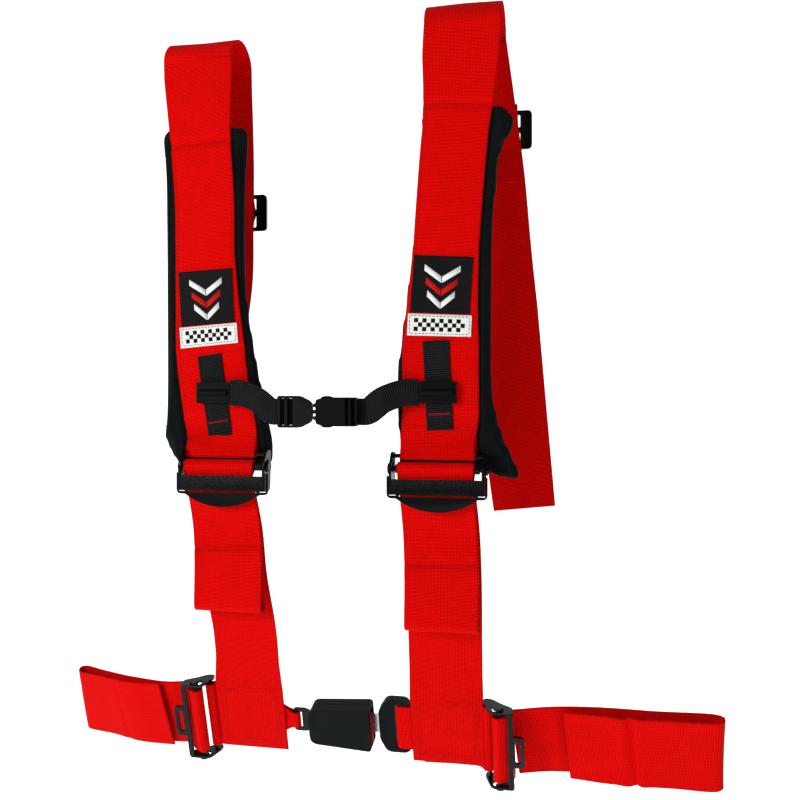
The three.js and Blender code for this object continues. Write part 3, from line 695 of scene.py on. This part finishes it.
def shoulder_line(side):
    """From the rear end up over the bar, down the pad and round the frame's upper bar."""
    over = arc([side["barX"] * MM, 0, side["loopRise"] * MM], side["loopRadius"] * MM, 0, 180, 8)
    over[:, 0] += np.linspace(0, side["loopLean"] * MM, len(over))
    rear = smooth([*mm(side["rearLine"])[::-1], over[0]])
    front = [(x * MM, PAD_WEB_Y, z * MM) for x, z in side["frontLine"][::-1]]
    down = smooth([over[-1], *front[:-1]])
    bar_y, bar_z = UPPER_BAR
    foot_x = side["frontLine"][0][0] * MM
    turn_r = UPPER_BAR_R + WEB_THICK / 2 + 0.2 * MM
    turn = arc([foot_x, bar_y, bar_z], turn_r, 200, 350, 15)
    lead = smooth([down[-1], [foot_x, PAD_WEB_Y - 1.2 * MM, FOOT_SEAM_Z], turn[0]], 2 * MM)
    back_y = PAD_WEB_Y + WEB_THICK + 0.2 * MM
    back = smooth([turn[-1], [foot_x, back_y, -384 * MM], [foot_x - 1 * MM, back_y, -366 * MM]], 2 * MM)
    return chain(rear, over, down, lead, turn, back)


# The webbing's share of its full width down the front, at heights in millimetres.
NARROWING = [(-18, 1.0), (-50, 0.93), (-85, 0.87), (-195, 0.86), (-245, 0.92), (-287, 1.0)]


def shoulder_form(side, plain, seams):
    heights, shares = np.array(NARROWING).T
    marks = [plain.mark(z * MM) for z in heights]

    def form(u, v):
        u, v = np.broadcast_arrays(u, v)
        loop = bell(u, seams["top"], 45 * MM)
        wave = 0.9 * MM * np.sin(43 * u + side["outward"]) * loop * (0.4 + 2 * np.abs(v))
        crown = 0.45 * MM * (1 - (2 * v) ** 4) * (u > seams["pad"]) * (u < seams["foot"])
        dents = 1.9 * MM * bell(u, seams["pad"], 3.6 * MM) + 0.7 * MM * bell(u, seams["label"], 2.2 * MM)
        foot = 0.045 * bell(u, seams["foot"] + 8 * MM, 14 * MM)
        turned = np.interp(u, [0, 0.2], [side["rearShare"], 1])
        return wave + crown - dents, np.interp(u, marks, shares) * turned - foot

    return form


def shoulder_webbing(name, side):
    line = shoulder_line(side)
    plain = Strap(line, SHOULDER_WEB)
    seams = {
        "top": plain.along[np.argmax(line[:, 2])],
        "pad": plain.mark(side["padSeam"] * MM),
        "label": plain.mark((side["keeperTop"][1] + 2) * MM),
        "foot": plain.mark(FOOT_SEAM_Z),
    }
    strap = Strap(line, SHOULDER_WEB, form=shoulder_form(side, plain, seams))
    shape = woven(strap)
    inset = SHOULDER_WEB / 2 - 3.2 * MM
    for edge in (-inset, inset):
        strap.stitch(shape, [(seams["pad"] + 4 * MM, edge), (seams["foot"], edge)])
    for seam, past in (("pad", 2.5), ("label", 2.5), ("foot", -8), ("foot", -5)):
        mark = seams[seam] + past * MM
        strap.stitch(shape, [(mark, -inset), (mark, inset)])
    piece = shape.build(f"{name}_shoulder_webbing_woven")
    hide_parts(f"{name}_shoulder_webbing")
    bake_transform(piece)
    return strap


def rear_turn(name, side):
    """The webbing's turn over the 3-bar slide's middle bar, and its doubled end below."""
    x, y, z = mm(side["rearSlide"])
    drift = 0.07 * side["outward"]
    profile = [(1.9, 24), (2.0, 15), (4.6, 8), (8.2, 3.2), (9.0, 0), (8.2, -3.2), (4.6, -8), (2.4, -15),
               (2.0, -24), (2.6, -52)]
    line = smooth([(x - drift * h * MM * 0.3, y + d * MM, z + h * MM) for d, h in profile], 1.5 * MM)
    strap = Strap(line, SHOULDER_WEB - 1 * MM, form=ripple(0.15 * MM, 2.0))
    shape = woven(strap)
    for back in (5 * MM, 9 * MM):
        strap.stitch(shape, [(strap.length - back, -33 * MM), (strap.length - back, 33 * MM)], face=-1)
    fit(shape.build(f"{name}_rear_turn"), f"{name}_side", "red_webbing")


def lane(strap, u0, u1, v, lift):
    """A line on a strap's outer face, v metres off its middle."""
    marks = np.linspace(u0, u1, max(3, round(abs(u1 - u0) / (2 * MM)) + 1))
    return strap.surface(marks, v / strap.width, lift)


def label_cloth(strap, u0, u1, v, lift, width, look):
    """A piece of label cloth on the strap's face, as a strap of its own, and its shape."""
    cloth = Strap(lane(strap, u0, u1, v, strap.thick / 2 + lift), width, thick=0.8 * MM)
    return cloth, woven(cloth, look)


def sewn_labels(name, side, strap):
    """A black badge with raised chevrons, and a white strip with a chequered band. Neither has lettering."""
    label_x, label_z = mm(side["label"])
    middle = strap.mark(label_z)
    v = label_x - strap.at(strap.line, middle)[0][0]
    badge, badge_shape = label_cloth(
        strap, middle - 28 * MM, middle + 25 * MM, v, 0.55 * MM, 56 * MM, "label_black")
    badge.box_stitch(badge_shape, 2.5 * MM, badge.length - 2.5 * MM, -25.5 * MM, 25.5 * MM, "black_thread")
    for row, (height, look) in enumerate([(8, "label_white"), (20, "label_red"), (32, "label_white")]):
        add_chevron(badge_shape, badge, height * MM, (17 - 2 * row) * MM, look)
    fit(badge_shape.build(f"{name}_badge"), f"{name}_side", "label_black", f"{name}_label")
    strip, strip_shape = label_cloth(
        strap, middle + 26 * MM, middle + 46 * MM, v, 0.6 * MM, 60 * MM, "label_white")
    strip.box_stitch(strip_shape, 2 * MM, strip.length - 2 * MM, -28 * MM, 28 * MM, "black_thread")
    add_chequers(strip_shape, strip)
    fit(strip_shape.build(f"{name}_chequer_strip"), f"{name}_side", "label_white", f"{name}_label_strip")


def add_patch(shape, strap, corners, look, thick=0.35 * MM):
    """A thin raised patch on a strap's face, from (u, v) corners in metres."""
    corners = np.asarray(corners, float)
    u, v = corners[:, 0], corners[:, 1] / strap.width
    low = strap.surface(u, v, strap.thick / 2 - 0.1 * MM)
    centre = corners.mean(axis=0)
    inner = centre + (corners - centre) * 0.985
    high = strap.surface(inner[:, 0], inner[:, 1] / strap.width, strap.thick / 2 + thick)
    count = len(corners)
    faces = [tuple(range(count, 2 * count)), tuple(reversed(range(count)))]
    for i in range(count):
        j = (i + 1) % count
        faces.append((i, j, count + j, count + i))
    weave = np.vstack([np.column_stack([corners, np.zeros(count)])] * 2)
    shape.add(np.vstack([low, high]), faces, look, weave)


def add_chevron(shape, strap, u, half, look):
    """Two mirrored arms of a V, each one patch."""
    drop, band = 11 * MM, 6 * MM
    for end in (-1, 1):
        add_patch(shape, strap, [(u + drop, 0.3 * MM * end), (u, end * half), (u + band, end * half),
                                 (u + drop + band, 0.3 * MM * end)][::-end], look)


def add_chequers(shape, strap):
    columns, rows, size = 12, 3, 4.0 * MM
    top = strap.length / 2 - rows * size / 2
    for i in range(columns):
        for j in range(rows):
            if (i + j) % 2 == 0:
                u, v = top + j * size, (i - columns / 2) * size
                add_patch(shape, strap, [(u, v), (u, v + size), (u + size, v + size), (u + size, v)],
                          "label_black", 0.12 * MM)


# ---- keeper and sternum straps

def keeper_x(side, z):
    (top_x, top_z), (foot_x, foot_z) = mm(side["keeperTop"]), mm(side["keeperFoot"])
    return top_x + (foot_x - top_x) * (z - top_z) / (foot_z - top_z)


def keeper_strap(name, side):
    y = PAD_WEB_Y - WEB_THICK - 0.4 * MM
    (top_x, top_z), (foot_x, foot_z) = mm(side["keeperTop"]), mm(side["keeperFoot"])
    line = even([(top_x, y, top_z), (foot_x, y, foot_z)], 2 * MM)
    strap = Strap(line, STERNUM_WEB, thick=NARROW_THICK)
    shape = woven(strap, "black_webbing")
    half = STERNUM_WEB / 2 - 2.5 * MM
    strap.box_stitch(shape, 2 * MM, 9 * MM, -half, half, "black_thread")
    length = strap.length
    for back in (14.5 * MM, 15.6 * MM):
        strap.stitch(shape, [(length - back, -half), (length - back, half)], "bright_thread", pitch=1.5 * MM)
    strap.box_stitch(shape, length - 12 * MM, length - 2.5 * MM, -half, half, "black_thread")
    fit(shape.build(f"{name}_keeper_strap_woven"), f"{name}_side", "black_webbing", f"{name}_keeper_strap")


def sternum_strap(name, side):
    outward = side["outward"]
    start = keeper_x(side, KEEPER_Z) - outward * (STERNUM_WEB / 2 + 5 * MM)
    end = side["buckleX"] * MM
    inward = math.copysign(1, end - start)
    # Each strap passes behind its buckle's ladder bars.
    behind = STERNUM_Y + side["buckleBack"] * MM
    line = smooth([
        (start, -31.6 * MM, KEEPER_Z),
        (start + inward * 14 * MM, -35.5 * MM, KEEPER_Z - 0.5 * MM),
        (start + inward * 32 * MM, -41 * MM, KEEPER_Z - 7 * MM),
        (end - inward * 8 * MM, STERNUM_Y + 3.4 * MM, STERNUM_Z + 0.6 * MM),
        (end, behind, STERNUM_Z),
        (end + inward * 8 * MM, behind, STERNUM_Z),
        (end + inward * 17 * MM, behind, STERNUM_Z),
    ], 1.5 * MM)

    def droop(u, v):
        u, v = np.broadcast_arrays(u, v)
        return 0.8 * MM * np.sin(70 * u + outward) * 2 * v * bell(u, 30 * MM, 20 * MM), np.ones_like(u)

    strap = Strap(line, STERNUM_WEB, across=Z_AXIS, thick=NARROW_THICK, form=droop)
    shape = woven(strap, "black_webbing")
    half = STERNUM_WEB / 2 - 2.5 * MM
    face = 1 if outward > 0 else -1
    for mark in (5 * MM, 6.6 * MM):
        strap.stitch(shape, [(mark, -half), (mark, half)], "black_thread", face, pitch=1.8 * MM)
    fit(shape.build(f"{name}_sternum_strap_woven"), f"{name}_keeper", "black_webbing",
        f"{name}_sternum_strap")


# ---- pads

PAD_VOXEL = 4.5 * MM
PAD_PRESSURE = 4.0
PAD_FRAMES = 20
PAD_CAP = 6 * MM
PAD_START = 9 * MM
PAD_BORDER = 5.5 * MM
# Below these heights the webbing lies double over the pad, and the adjuster's frame tilts back over it.
DOUBLED_Z = -358 * MM
RELIEF_Z = -381 * MM
PRESS_STEP = 6 * MM


def outline_distance(points, outline):
    """Distance of each 2-D point from a closed outline."""
    best = np.full(len(points), 1e9)
    for a, b in zip(outline, np.roll(outline, -1, axis=0)):
        span = b - a
        size = span @ span
        if size < 1e-12:
            continue
        t = np.clip(((points - a) @ span) / size, 0, 1)
        best = np.minimum(best, np.linalg.norm(points - (a + t[:, None] * span), axis=1))
    return best


def coords(piece):
    co = np.zeros(len(piece.data.vertices) * 3)
    piece.data.vertices.foreach_get("co", co)
    return co.reshape(-1, 3)


def set_coords(piece, co):
    piece.data.vertices.foreach_set("co", np.asarray(co, np.float32).ravel())
    piece.data.update()


def apply_modifiers(piece):
    """The piece's mesh becomes what its modifiers make of it."""
    depsgraph = bpy.context.evaluated_depsgraph_get()
    mesh = bpy.data.meshes.new_from_object(piece.evaluated_get(depsgraph), depsgraph=depsgraph)
    piece.modifiers.clear()
    old = piece.data
    piece.data = mesh
    bpy.data.meshes.remove(old)


def pad_block(name, outline):
    count = len(outline)
    middle = (PAD_FRONT + PAD_BACK) / 2
    verts = [(x, middle - PAD_START / 2, z) for x, z in outline]
    verts += [(x, middle + PAD_START / 2, z) for x, z in outline]
    faces = [tuple(range(count)), tuple(reversed(range(count, 2 * count)))]
    faces += [((i + 1) % count, i, count + i, count + (i + 1) % count) for i in range(count)]
    mesh = bpy.data.meshes.new(name)
    mesh.from_pydata(verts, [], faces)
    bm = bmesh.new()
    bm.from_mesh(mesh)
    bmesh.ops.recalc_face_normals(bm, faces=bm.faces)
    bm.to_mesh(mesh)
    bm.free()
    pad = bpy.data.objects.new(name, mesh)
    bpy.context.scene.collection.objects.link(pad)
    remesh = pad.modifiers.new("remesh", "REMESH")
    remesh.mode = "VOXEL"
    remesh.voxel_size = PAD_VOXEL
    apply_modifiers(pad)
    return pad


def inflate(pad):
    """Foam fills the cover: cloth under pressure, with each point's travel capped."""
    rest = coords(pad)
    cloth = pad.modifiers.new("cloth", "CLOTH")
    cloth.settings.quality = 5
    cloth.settings.tension_stiffness = 15
    cloth.settings.bending_stiffness = 0.5
    cloth.settings.use_pressure = True
    cloth.settings.uniform_pressure_force = PAD_PRESSURE
    cloth.settings.effector_weights.gravity = 0
    cloth.point_cache.frame_start = 1
    cloth.point_cache.frame_end = PAD_FRAMES
    scene = bpy.context.scene
    for number in range(1, PAD_FRAMES + 1):
        scene.frame_set(number)
    apply_modifiers(pad)
    moved = coords(pad) - rest
    size = np.linalg.norm(moved, axis=1)
    share = np.minimum(1, PAD_CAP / np.maximum(size, 1e-9))
    set_coords(pad, rest + moved * share[:, None])
    scene.frame_set(1)


def dress_pad(co, side, outline):
    """The pad's points with a sewn border, gathers and lumps, pressed flat where the webbing crosses it."""
    middle = (PAD_FRONT + PAD_BACK) / 2
    border = outline_distance(co[:, [0, 2]], outline)
    outward = np.sign(co[:, 1] - middle)
    co[:, 1] -= outward * 1.3 * MM * bell(border, PAD_BORDER, 1.6 * MM)
    gather = bell(co[:, 2], (side["pad"][0][1] - 325) * MM, 30 * MM)
    co[:, 1] += 1.2 * MM * gather * np.sin(420 * co[:, 0]) * np.minimum(1, border / (12 * MM))
    lumps = np.sin(37 * co[:, 2] + side["outward"]) * np.sin(29 * co[:, 0]) + 0.6 * np.sin(83 * co[:, 2] + 2)
    co[:, 1] += 0.5 * MM * lumps * (co[:, 1] > middle)
    centre_x = np.interp(co[:, 2], *np.array([(z * MM, x * MM) for x, z in side["frontLine"]]).T)
    off_edge = np.abs(co[:, 0] - centre_x) - SHOULDER_WEB / 2
    front_limit = PAD_FRONT + 0.5 * MM - 2.6 * MM * ease(np.clip(off_edge / PRESS_STEP, 0, 1))
    front_limit += 2.2 * MM * np.clip((DOUBLED_Z - co[:, 2]) / PRESS_STEP, 0, 1) * (off_edge < 0)
    front_limit += 2.6 * MM * np.clip((RELIEF_Z - co[:, 2]) / PRESS_STEP, 0, 1)
    co[:, 1] = np.maximum(co[:, 1], front_limit)
    co[:, 1] = np.minimum(co[:, 1], PAD_BACK + 3 * MM)
    return co


def shoulder_pad(name, side):
    """A foam pad under the webbing, with soft edges."""
    outline = rounded([(x * MM, z * MM, r * MM) for x, z, r in side["pad"]])
    pad = pad_block(f"{name}_shoulder_pad_soft", outline)
    inflate(pad)
    finer = pad.modifiers.new("finer", "SUBSURF")
    finer.levels = 1
    finer.render_levels = 1
    apply_modifiers(pad)
    set_coords(pad, dress_pad(coords(pad), side, outline))
    pad.data.materials.clear()
    pad.data.materials.append(MATERIALS["pad_fabric"])
    pad.data.shade_smooth()
    fit(pad, f"{name}_side", "pad_fabric", f"{name}_shoulder_pad")
    border_stitches(name, pad, outline)


def border_stitches(name, pad, outline):
    """Black thread round the pad, sunk in its sewn border, on the front and the back."""
    tree = BVHTree.FromPolygons(coords(pad).tolist(), [tuple(p.vertices) for p in pad.data.polygons])
    centre = outline.mean(axis=0)
    gaps = np.roll(outline, -1, axis=0) - np.roll(outline, 1, axis=0)
    inward = np.column_stack([-gaps[:, 1], gaps[:, 0]])
    inward /= np.maximum(np.linalg.norm(inward, axis=1), 1e-9)[:, None]
    if np.sum(inward * (centre - outline)) < 0:
        inward = -inward
    ring = outline + inward * PAD_BORDER
    ring = np.vstack([ring, ring[:1]])
    ring = even(np.column_stack([ring[:, 0], np.zeros(len(ring)), ring[:, 1]]), 3.6 * MM)
    shape = Shape()
    for facing in (-1, 1):
        starts, ends, normals = [], [], []
        for a, b in zip(ring, ring[1:]):
            hits = [tree.ray_cast(Vector((p[0], 0.1 * facing, p[2])), Vector((0, -facing, 0)))
                    for p in (a + 0.14 * (b - a), a + 0.86 * (b - a))]
            if all(hit[0] is not None for hit in hits):
                starts.append(np.array(hits[0][0]))
                ends.append(np.array(hits[1][0]))
                normals.append(np.array(hits[0][1]))
        add_stitches(shape, starts, ends, normals, "black_thread", 0.38 * MM)
    fit(shape.build(f"{name}_pad_stitching"), f"{name}_side", "pad_fabric")


# ---- adjuster webbing: lower strap, turn on the lock bar, tail

TAIL_SHARE = 0.965


def adjuster_webbing(name, side):
    """One strap: up from the sewn patch, over the lock bar, down in front as the tail with its end fold."""
    foot_x = side["strapFootX"] * MM
    patch_y = -1.6 * LAYER
    foot, top = lap([(foot_x, patch_y, -SHOULDER_WEB / 2), (foot_x, patch_y, 34 * MM)])
    lower = mm(side["lowerLine"])
    tail = mm(side["tailLine"])
    centre = np.array([side["rollX"] * MM, ROLL_Y, ROLL_Z])
    rise = smooth([top, *lower[::-1]])
    over = arc(centre, WRAP_R, -31, 194, 15)
    hang = smooth(tail)
    end = tail[-1]
    fold_r = 6 * MM
    hem_height = 58 * MM
    fold = arc([end[0], end[1] + fold_r, end[2]], fold_r, 180, 350, 17)
    hem_x = np.interp(end[2] + hem_height, tail[::-1, 2], tail[::-1, 0])
    hem_y = np.interp(end[2] + hem_height, tail[::-1, 2], tail[::-1, 1]) + WEB_THICK + 0.4 * MM
    hem = smooth([fold[-1], [end[0], end[1] + 9 * MM, end[2] + 22 * MM], [hem_x, hem_y, end[2] + hem_height]])
    line = chain(even([foot, top]), rise, over, hang, fold, hem)
    plain = Strap(line, SHOULDER_WEB)
    roll_u = plain.along[np.argmin(np.linalg.norm(line - (centre + [0, 0, WRAP_R]), axis=1))]
    crease_u = plain.along[(plain.along > roll_u) & (line[:, 2] < end[2] + hem_height)][0]
    loose = ripple(0.7 * MM, 1.0 + side["outward"])

    def form(u, v):
        u, v = np.broadcast_arrays(u, v)
        bump, share = loose(u, v)
        free = np.clip((u - 95 * MM) / (60 * MM), 0, 1) * (1 - bell(u, roll_u, 25 * MM))
        free = free * np.where(u > crease_u, 0.3, 1)
        dent = 1.2 * MM * bell(u, crease_u, 2.5 * MM)
        narrow = np.interp(u, [70 * MM, 100 * MM, roll_u - 20 * MM, roll_u, roll_u + 30 * MM],
                           [1, side["lowerShare"], side["lowerShare"], 1, TAIL_SHARE])
        return bump * free - dent, share * narrow

    strap = Strap(line, SHOULDER_WEB, form=form)
    shape = woven(strap)
    half = SHOULDER_WEB / 2 - 6 * MM
    for inset in (0, 3.5 * MM):
        strap.box_stitch(shape, 6 * MM + inset, 69 * MM - inset, -half + inset, half - inset, face=-1)
    for gap in (2 * MM, 4.2 * MM):
        strap.stitch(shape, [(crease_u + gap, -half - 3 * MM), (crease_u + gap, half + 3 * MM)])
    piece = shape.build(f"{name}_adjuster_webbing")
    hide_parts(f"{name}_lower_strap", f"{name}_webbing_roll", f"{name}_strap_tail")
    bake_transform(piece)


# ---- lap webbing

def lap_inner_webbing(name, side):
    """Lap webbing from under the patch, round the adjuster's fixed bar and back."""
    out = side["outward"]
    z = 0.6 * side["lapZ"] * MM
    layer_y = 1.4 * LAYER
    inner = side["strapFootX"] * MM - out * (SHOULDER_WEB / 2 - 10 * MM)
    bar_x = side["lapRollX"] * MM - out * LAP_FIXED_BAR
    turn_r = 2 * MM + WEB_THICK / 2 + 0.2 * MM
    start = 270 if out > 0 else -90
    turn = arc([bar_x, LAP_FIXED_BAR_Y, z], turn_r, start, start + out * 180, 18, "xy")
    lead = bar_x - out * 10 * MM
    front = smooth([(inner, layer_y, z), (lead, layer_y, z),
                    (bar_x - out * 4 * MM, LAP_FIXED_BAR_Y - turn_r + 0.4 * MM, z), turn[0]], 2 * MM)
    back_end = (side["strapFootX"] + out * 22) * MM
    back = smooth([turn[-1], (lead, layer_y + 1.9 * MM, z), (back_end, layer_y + 1.9 * MM, z)], 2 * MM)
    line = lap(chain(front, turn, back))
    shape = woven(Strap(line, SHOULDER_WEB, across=LAP_UP))
    piece = shape.build(f"{name}_lap_inner_webbing_woven")
    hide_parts(f"{name}_lap_inner_webbing")
    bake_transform(piece)


def lap_roll(name, side):
    """The lap webbing's turn on the lock bar: a hook whose two ends run out behind the crossbar."""
    out = side["outward"]
    x = side["lapRollX"] * MM
    turn_r = 5.6 * MM
    start = 270 if out > 0 else -90
    # From the front of the bar, round its inner side, to the back.
    turn = arc([x, LAP_ROLL_Y, 0], turn_r, start, start - out * 180, 15, "xy")
    tail = smooth([(x + out * 14 * MM, -4.6 * MM, 0), (x + out * 8 * MM, -9.6 * MM, 0), turn[0]], 1.5 * MM)
    lead = smooth([turn[-1], (x + out * 8 * MM, -2.2 * MM, 0), (x + out * 14 * MM, 0.3 * MM, 0)], 1.5 * MM)
    line = chain(tail, turn, lead) + [0, 0, side["lapZ"] * MM]
    shape = woven(Strap(lap(line), SHOULDER_WEB, across=LAP_UP))
    fit(shape.build(f"{name}_lap_turn"), f"{name}_lap_lock_bar", "red_webbing", f"{name}_lap_webbing_roll")


def lap_belt(name, side):
    """The lap belt, folded at the anchor and sewn back on itself."""
    start_x = side["lapBelt"][0][0]
    fold_x = side["lapFold"][0]
    points = [*side["lapBelt"], side["lapFold"], *side["lapReturn"]]
    fall = side["lapDroop"] / (fold_x - start_x)
    points = [(x, y, side["lapZ"] - fall * (x - start_x)) for x, y in points]
    line = lap(smooth(mm(points), 2.5 * MM))
    slack = ripple(1.0 * MM, 0.7 * side["outward"])
    length = Strap(line, SHOULDER_WEB, across=LAP_UP).length
    face = -1 if side["outward"] > 0 else 1
    crease_u = length - 62 * MM

    def form(u, v):
        bump, share = slack(u, v)
        free = np.clip(u / (40 * MM), 0, 1) * np.clip((length - u) / (30 * MM), 0, 1)
        crease = face * side["beltCrease"] * MM * (u > length / 2) * (
            -2.6 * bell(u, crease_u, 2.6 * MM) + 1.4 * bell(u, crease_u + 9 * MM, 6 * MM)
            + 1.2 * bell(u, crease_u - 7 * MM, 5 * MM))
        return bump * free + crease, share

    strap = Strap(line, SHOULDER_WEB, across=LAP_UP, form=form)
    shape = woven(strap)
    half = SHOULDER_WEB / 2 - 5 * MM
    for back in (5 * MM, 8 * MM):
        strap.stitch(shape, [(length - back, -half), (length - back, half)], face=-face)
    piece = shape.build(f"{name}_lap_belt_woven")
    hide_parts(f"{name}_lap_belt")
    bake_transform(piece)


# ---- latch and tongue loops

def narrow_loop(bar_x, bar_y, turn_r, straight, end_x):
    """A doubled loop round an end bar, its ends sewn in at end_x."""
    to_end = math.copysign(1, end_x - bar_x)
    turn = arc([bar_x, bar_y, 0], turn_r, 90, 90 + to_end * 180, 18, "xy")
    clear = bar_x + to_end * straight
    back_y, front_y = 0.4 * LAYER, -0.6 * LAYER
    back = even([(end_x, back_y, 0), (clear + to_end * 8 * MM, back_y, 0), (clear, bar_y + turn_r, 0)])
    front = even([(clear, bar_y - turn_r, 0), (clear + to_end * 8 * MM, front_y, 0), (end_x, front_y, 0)])
    line = chain(back, turn, front)
    line[:, 2] += LATCH_Z
    return lap(line)


def tongue_loop():
    line = narrow_loop(62.6 * MM, 5 * MM + LATCH_Y, 4.4 * MM, 10 * MM, 112 * MM)
    shape = woven(Strap(line, LATCH_WEB, across=LAP_UP))
    fit(shape.build("tongue_loop_webbing_woven"), "right_side", "red_webbing", "tongue_loop_webbing")


def latch_loop():
    line = narrow_loop(-45 * MM, 2.4 * MM + LATCH_Y, 3.2 * MM, 1 * MM, -84 * MM)
    middle = Strap(line, GATHERED_WEB, across=LAP_UP).length / 2

    def gathered(u, v):
        """Wide where it is sewn in, gathered into the anchor slot, with a pleat along it."""
        u, v = np.broadcast_arrays(u, v)
        open_ = np.clip((np.abs(u - middle) - 6 * MM) / (18 * MM), 0, 1)
        pleat = 2.88 * MM * np.sin(3.1 * math.pi * v) * open_ * (1 - open_)
        return pleat, 1 + ease(open_)

    shape = woven(Strap(line, GATHERED_WEB, across=LAP_UP, form=gathered))
    fit(shape.build("latch_loop_webbing_woven"), "left_side", "red_webbing", "latch_loop_webbing")


# ---- hardware

# Each CAD node's finish, and how far its edges are rounded, in millimetres.
SIDE_HARDWARE = {
    "keeper_slider": ("black_plastic", 0.5),
    "rear_slide": ("black_steel", 0.7),
    "adjuster_frame": ("black_steel", 0.6),
    "release_tab": ("black_plastic", 0.4),
    "lock_bar": ("black_steel", 0.4),
    "lap_adjuster_frame": ("black_steel", 0.6),
    "lap_lock_bar": ("black_steel", 0.4),
}
MIDDLE_HARDWARE = {
    "sternum_buckle_male": ("black_plastic", 0.6),
    "sternum_prong_upper": ("black_plastic", 0.6),
    "sternum_prong_lower": ("black_plastic", 0.6),
    "sternum_buckle_female": ("black_plastic", 0.6),
    "latch_front_shell": ("shell_plastic", 1.6),
    "latch_back_shell": ("shell_plastic", 1.2),
    "latch_frame": ("black_steel", 0.4),
    "latch_button": ("red_plastic", 0.8),
    "latch_spring": ("bare_steel", 0.02),
    "latch_pawl": ("bare_steel", 0.3),
    "tongue_plate": ("bare_steel", 0.4),
    "tongue_cover": ("shell_plastic", 1.2),
}


def soften(node, look, width):
    """A CAD node keeps its mesh; modifiers merge it, round its edges and even out its shading."""
    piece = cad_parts[node]
    piece.data.materials.clear()
    piece.data.materials.append(MATERIALS[look])
    if "custom_normal" in piece.data.attributes:
        piece.data.attributes.remove(piece.data.attributes["custom_normal"])
    piece.data.shade_smooth()
    weld = piece.modifiers.new("weld", "WELD")
    weld.merge_threshold = 0.01 * MM
    flat = piece.modifiers.new("flat", "DECIMATE")
    flat.decimate_type = "DISSOLVE"
    flat.angle_limit = math.radians(1)
    bevel = piece.modifiers.new("bevel", "BEVEL")
    bevel.width = width
    bevel.segments = 3
    bevel.limit_method = "ANGLE"
    bevel.angle_limit = math.radians(35)
    bevel.harden_normals = True
    even_out = piece.modifiers.new("normals", "WEIGHTED_NORMAL")
    even_out.keep_sharp = True


def finish_hardware():
    for name in SIDES:
        for node, (look, width) in SIDE_HARDWARE.items():
            soften(f"{name}_{node}", look, width * MM)
    for node, (look, width) in MIDDLE_HARDWARE.items():
        soften(node, look, width * MM)


# ---- the whole harness

make_camera()
MATERIALS = make_materials()
for side_name, side_sizes in SIDES.items():
    webbing = shoulder_webbing(side_name, side_sizes)
    shoulder_pad(side_name, side_sizes)
    sewn_labels(side_name, side_sizes, webbing)
    rear_turn(side_name, side_sizes)
    keeper_strap(side_name, side_sizes)
    sternum_strap(side_name, side_sizes)
    adjuster_webbing(side_name, side_sizes)
    lap_inner_webbing(side_name, side_sizes)
    lap_roll(side_name, side_sizes)
    lap_belt(side_name, side_sizes)
tongue_loop()
latch_loop()
finish_hardware()
light_scene()
backdrop()
bpy.context.scene.view_settings.view_transform = "Standard"
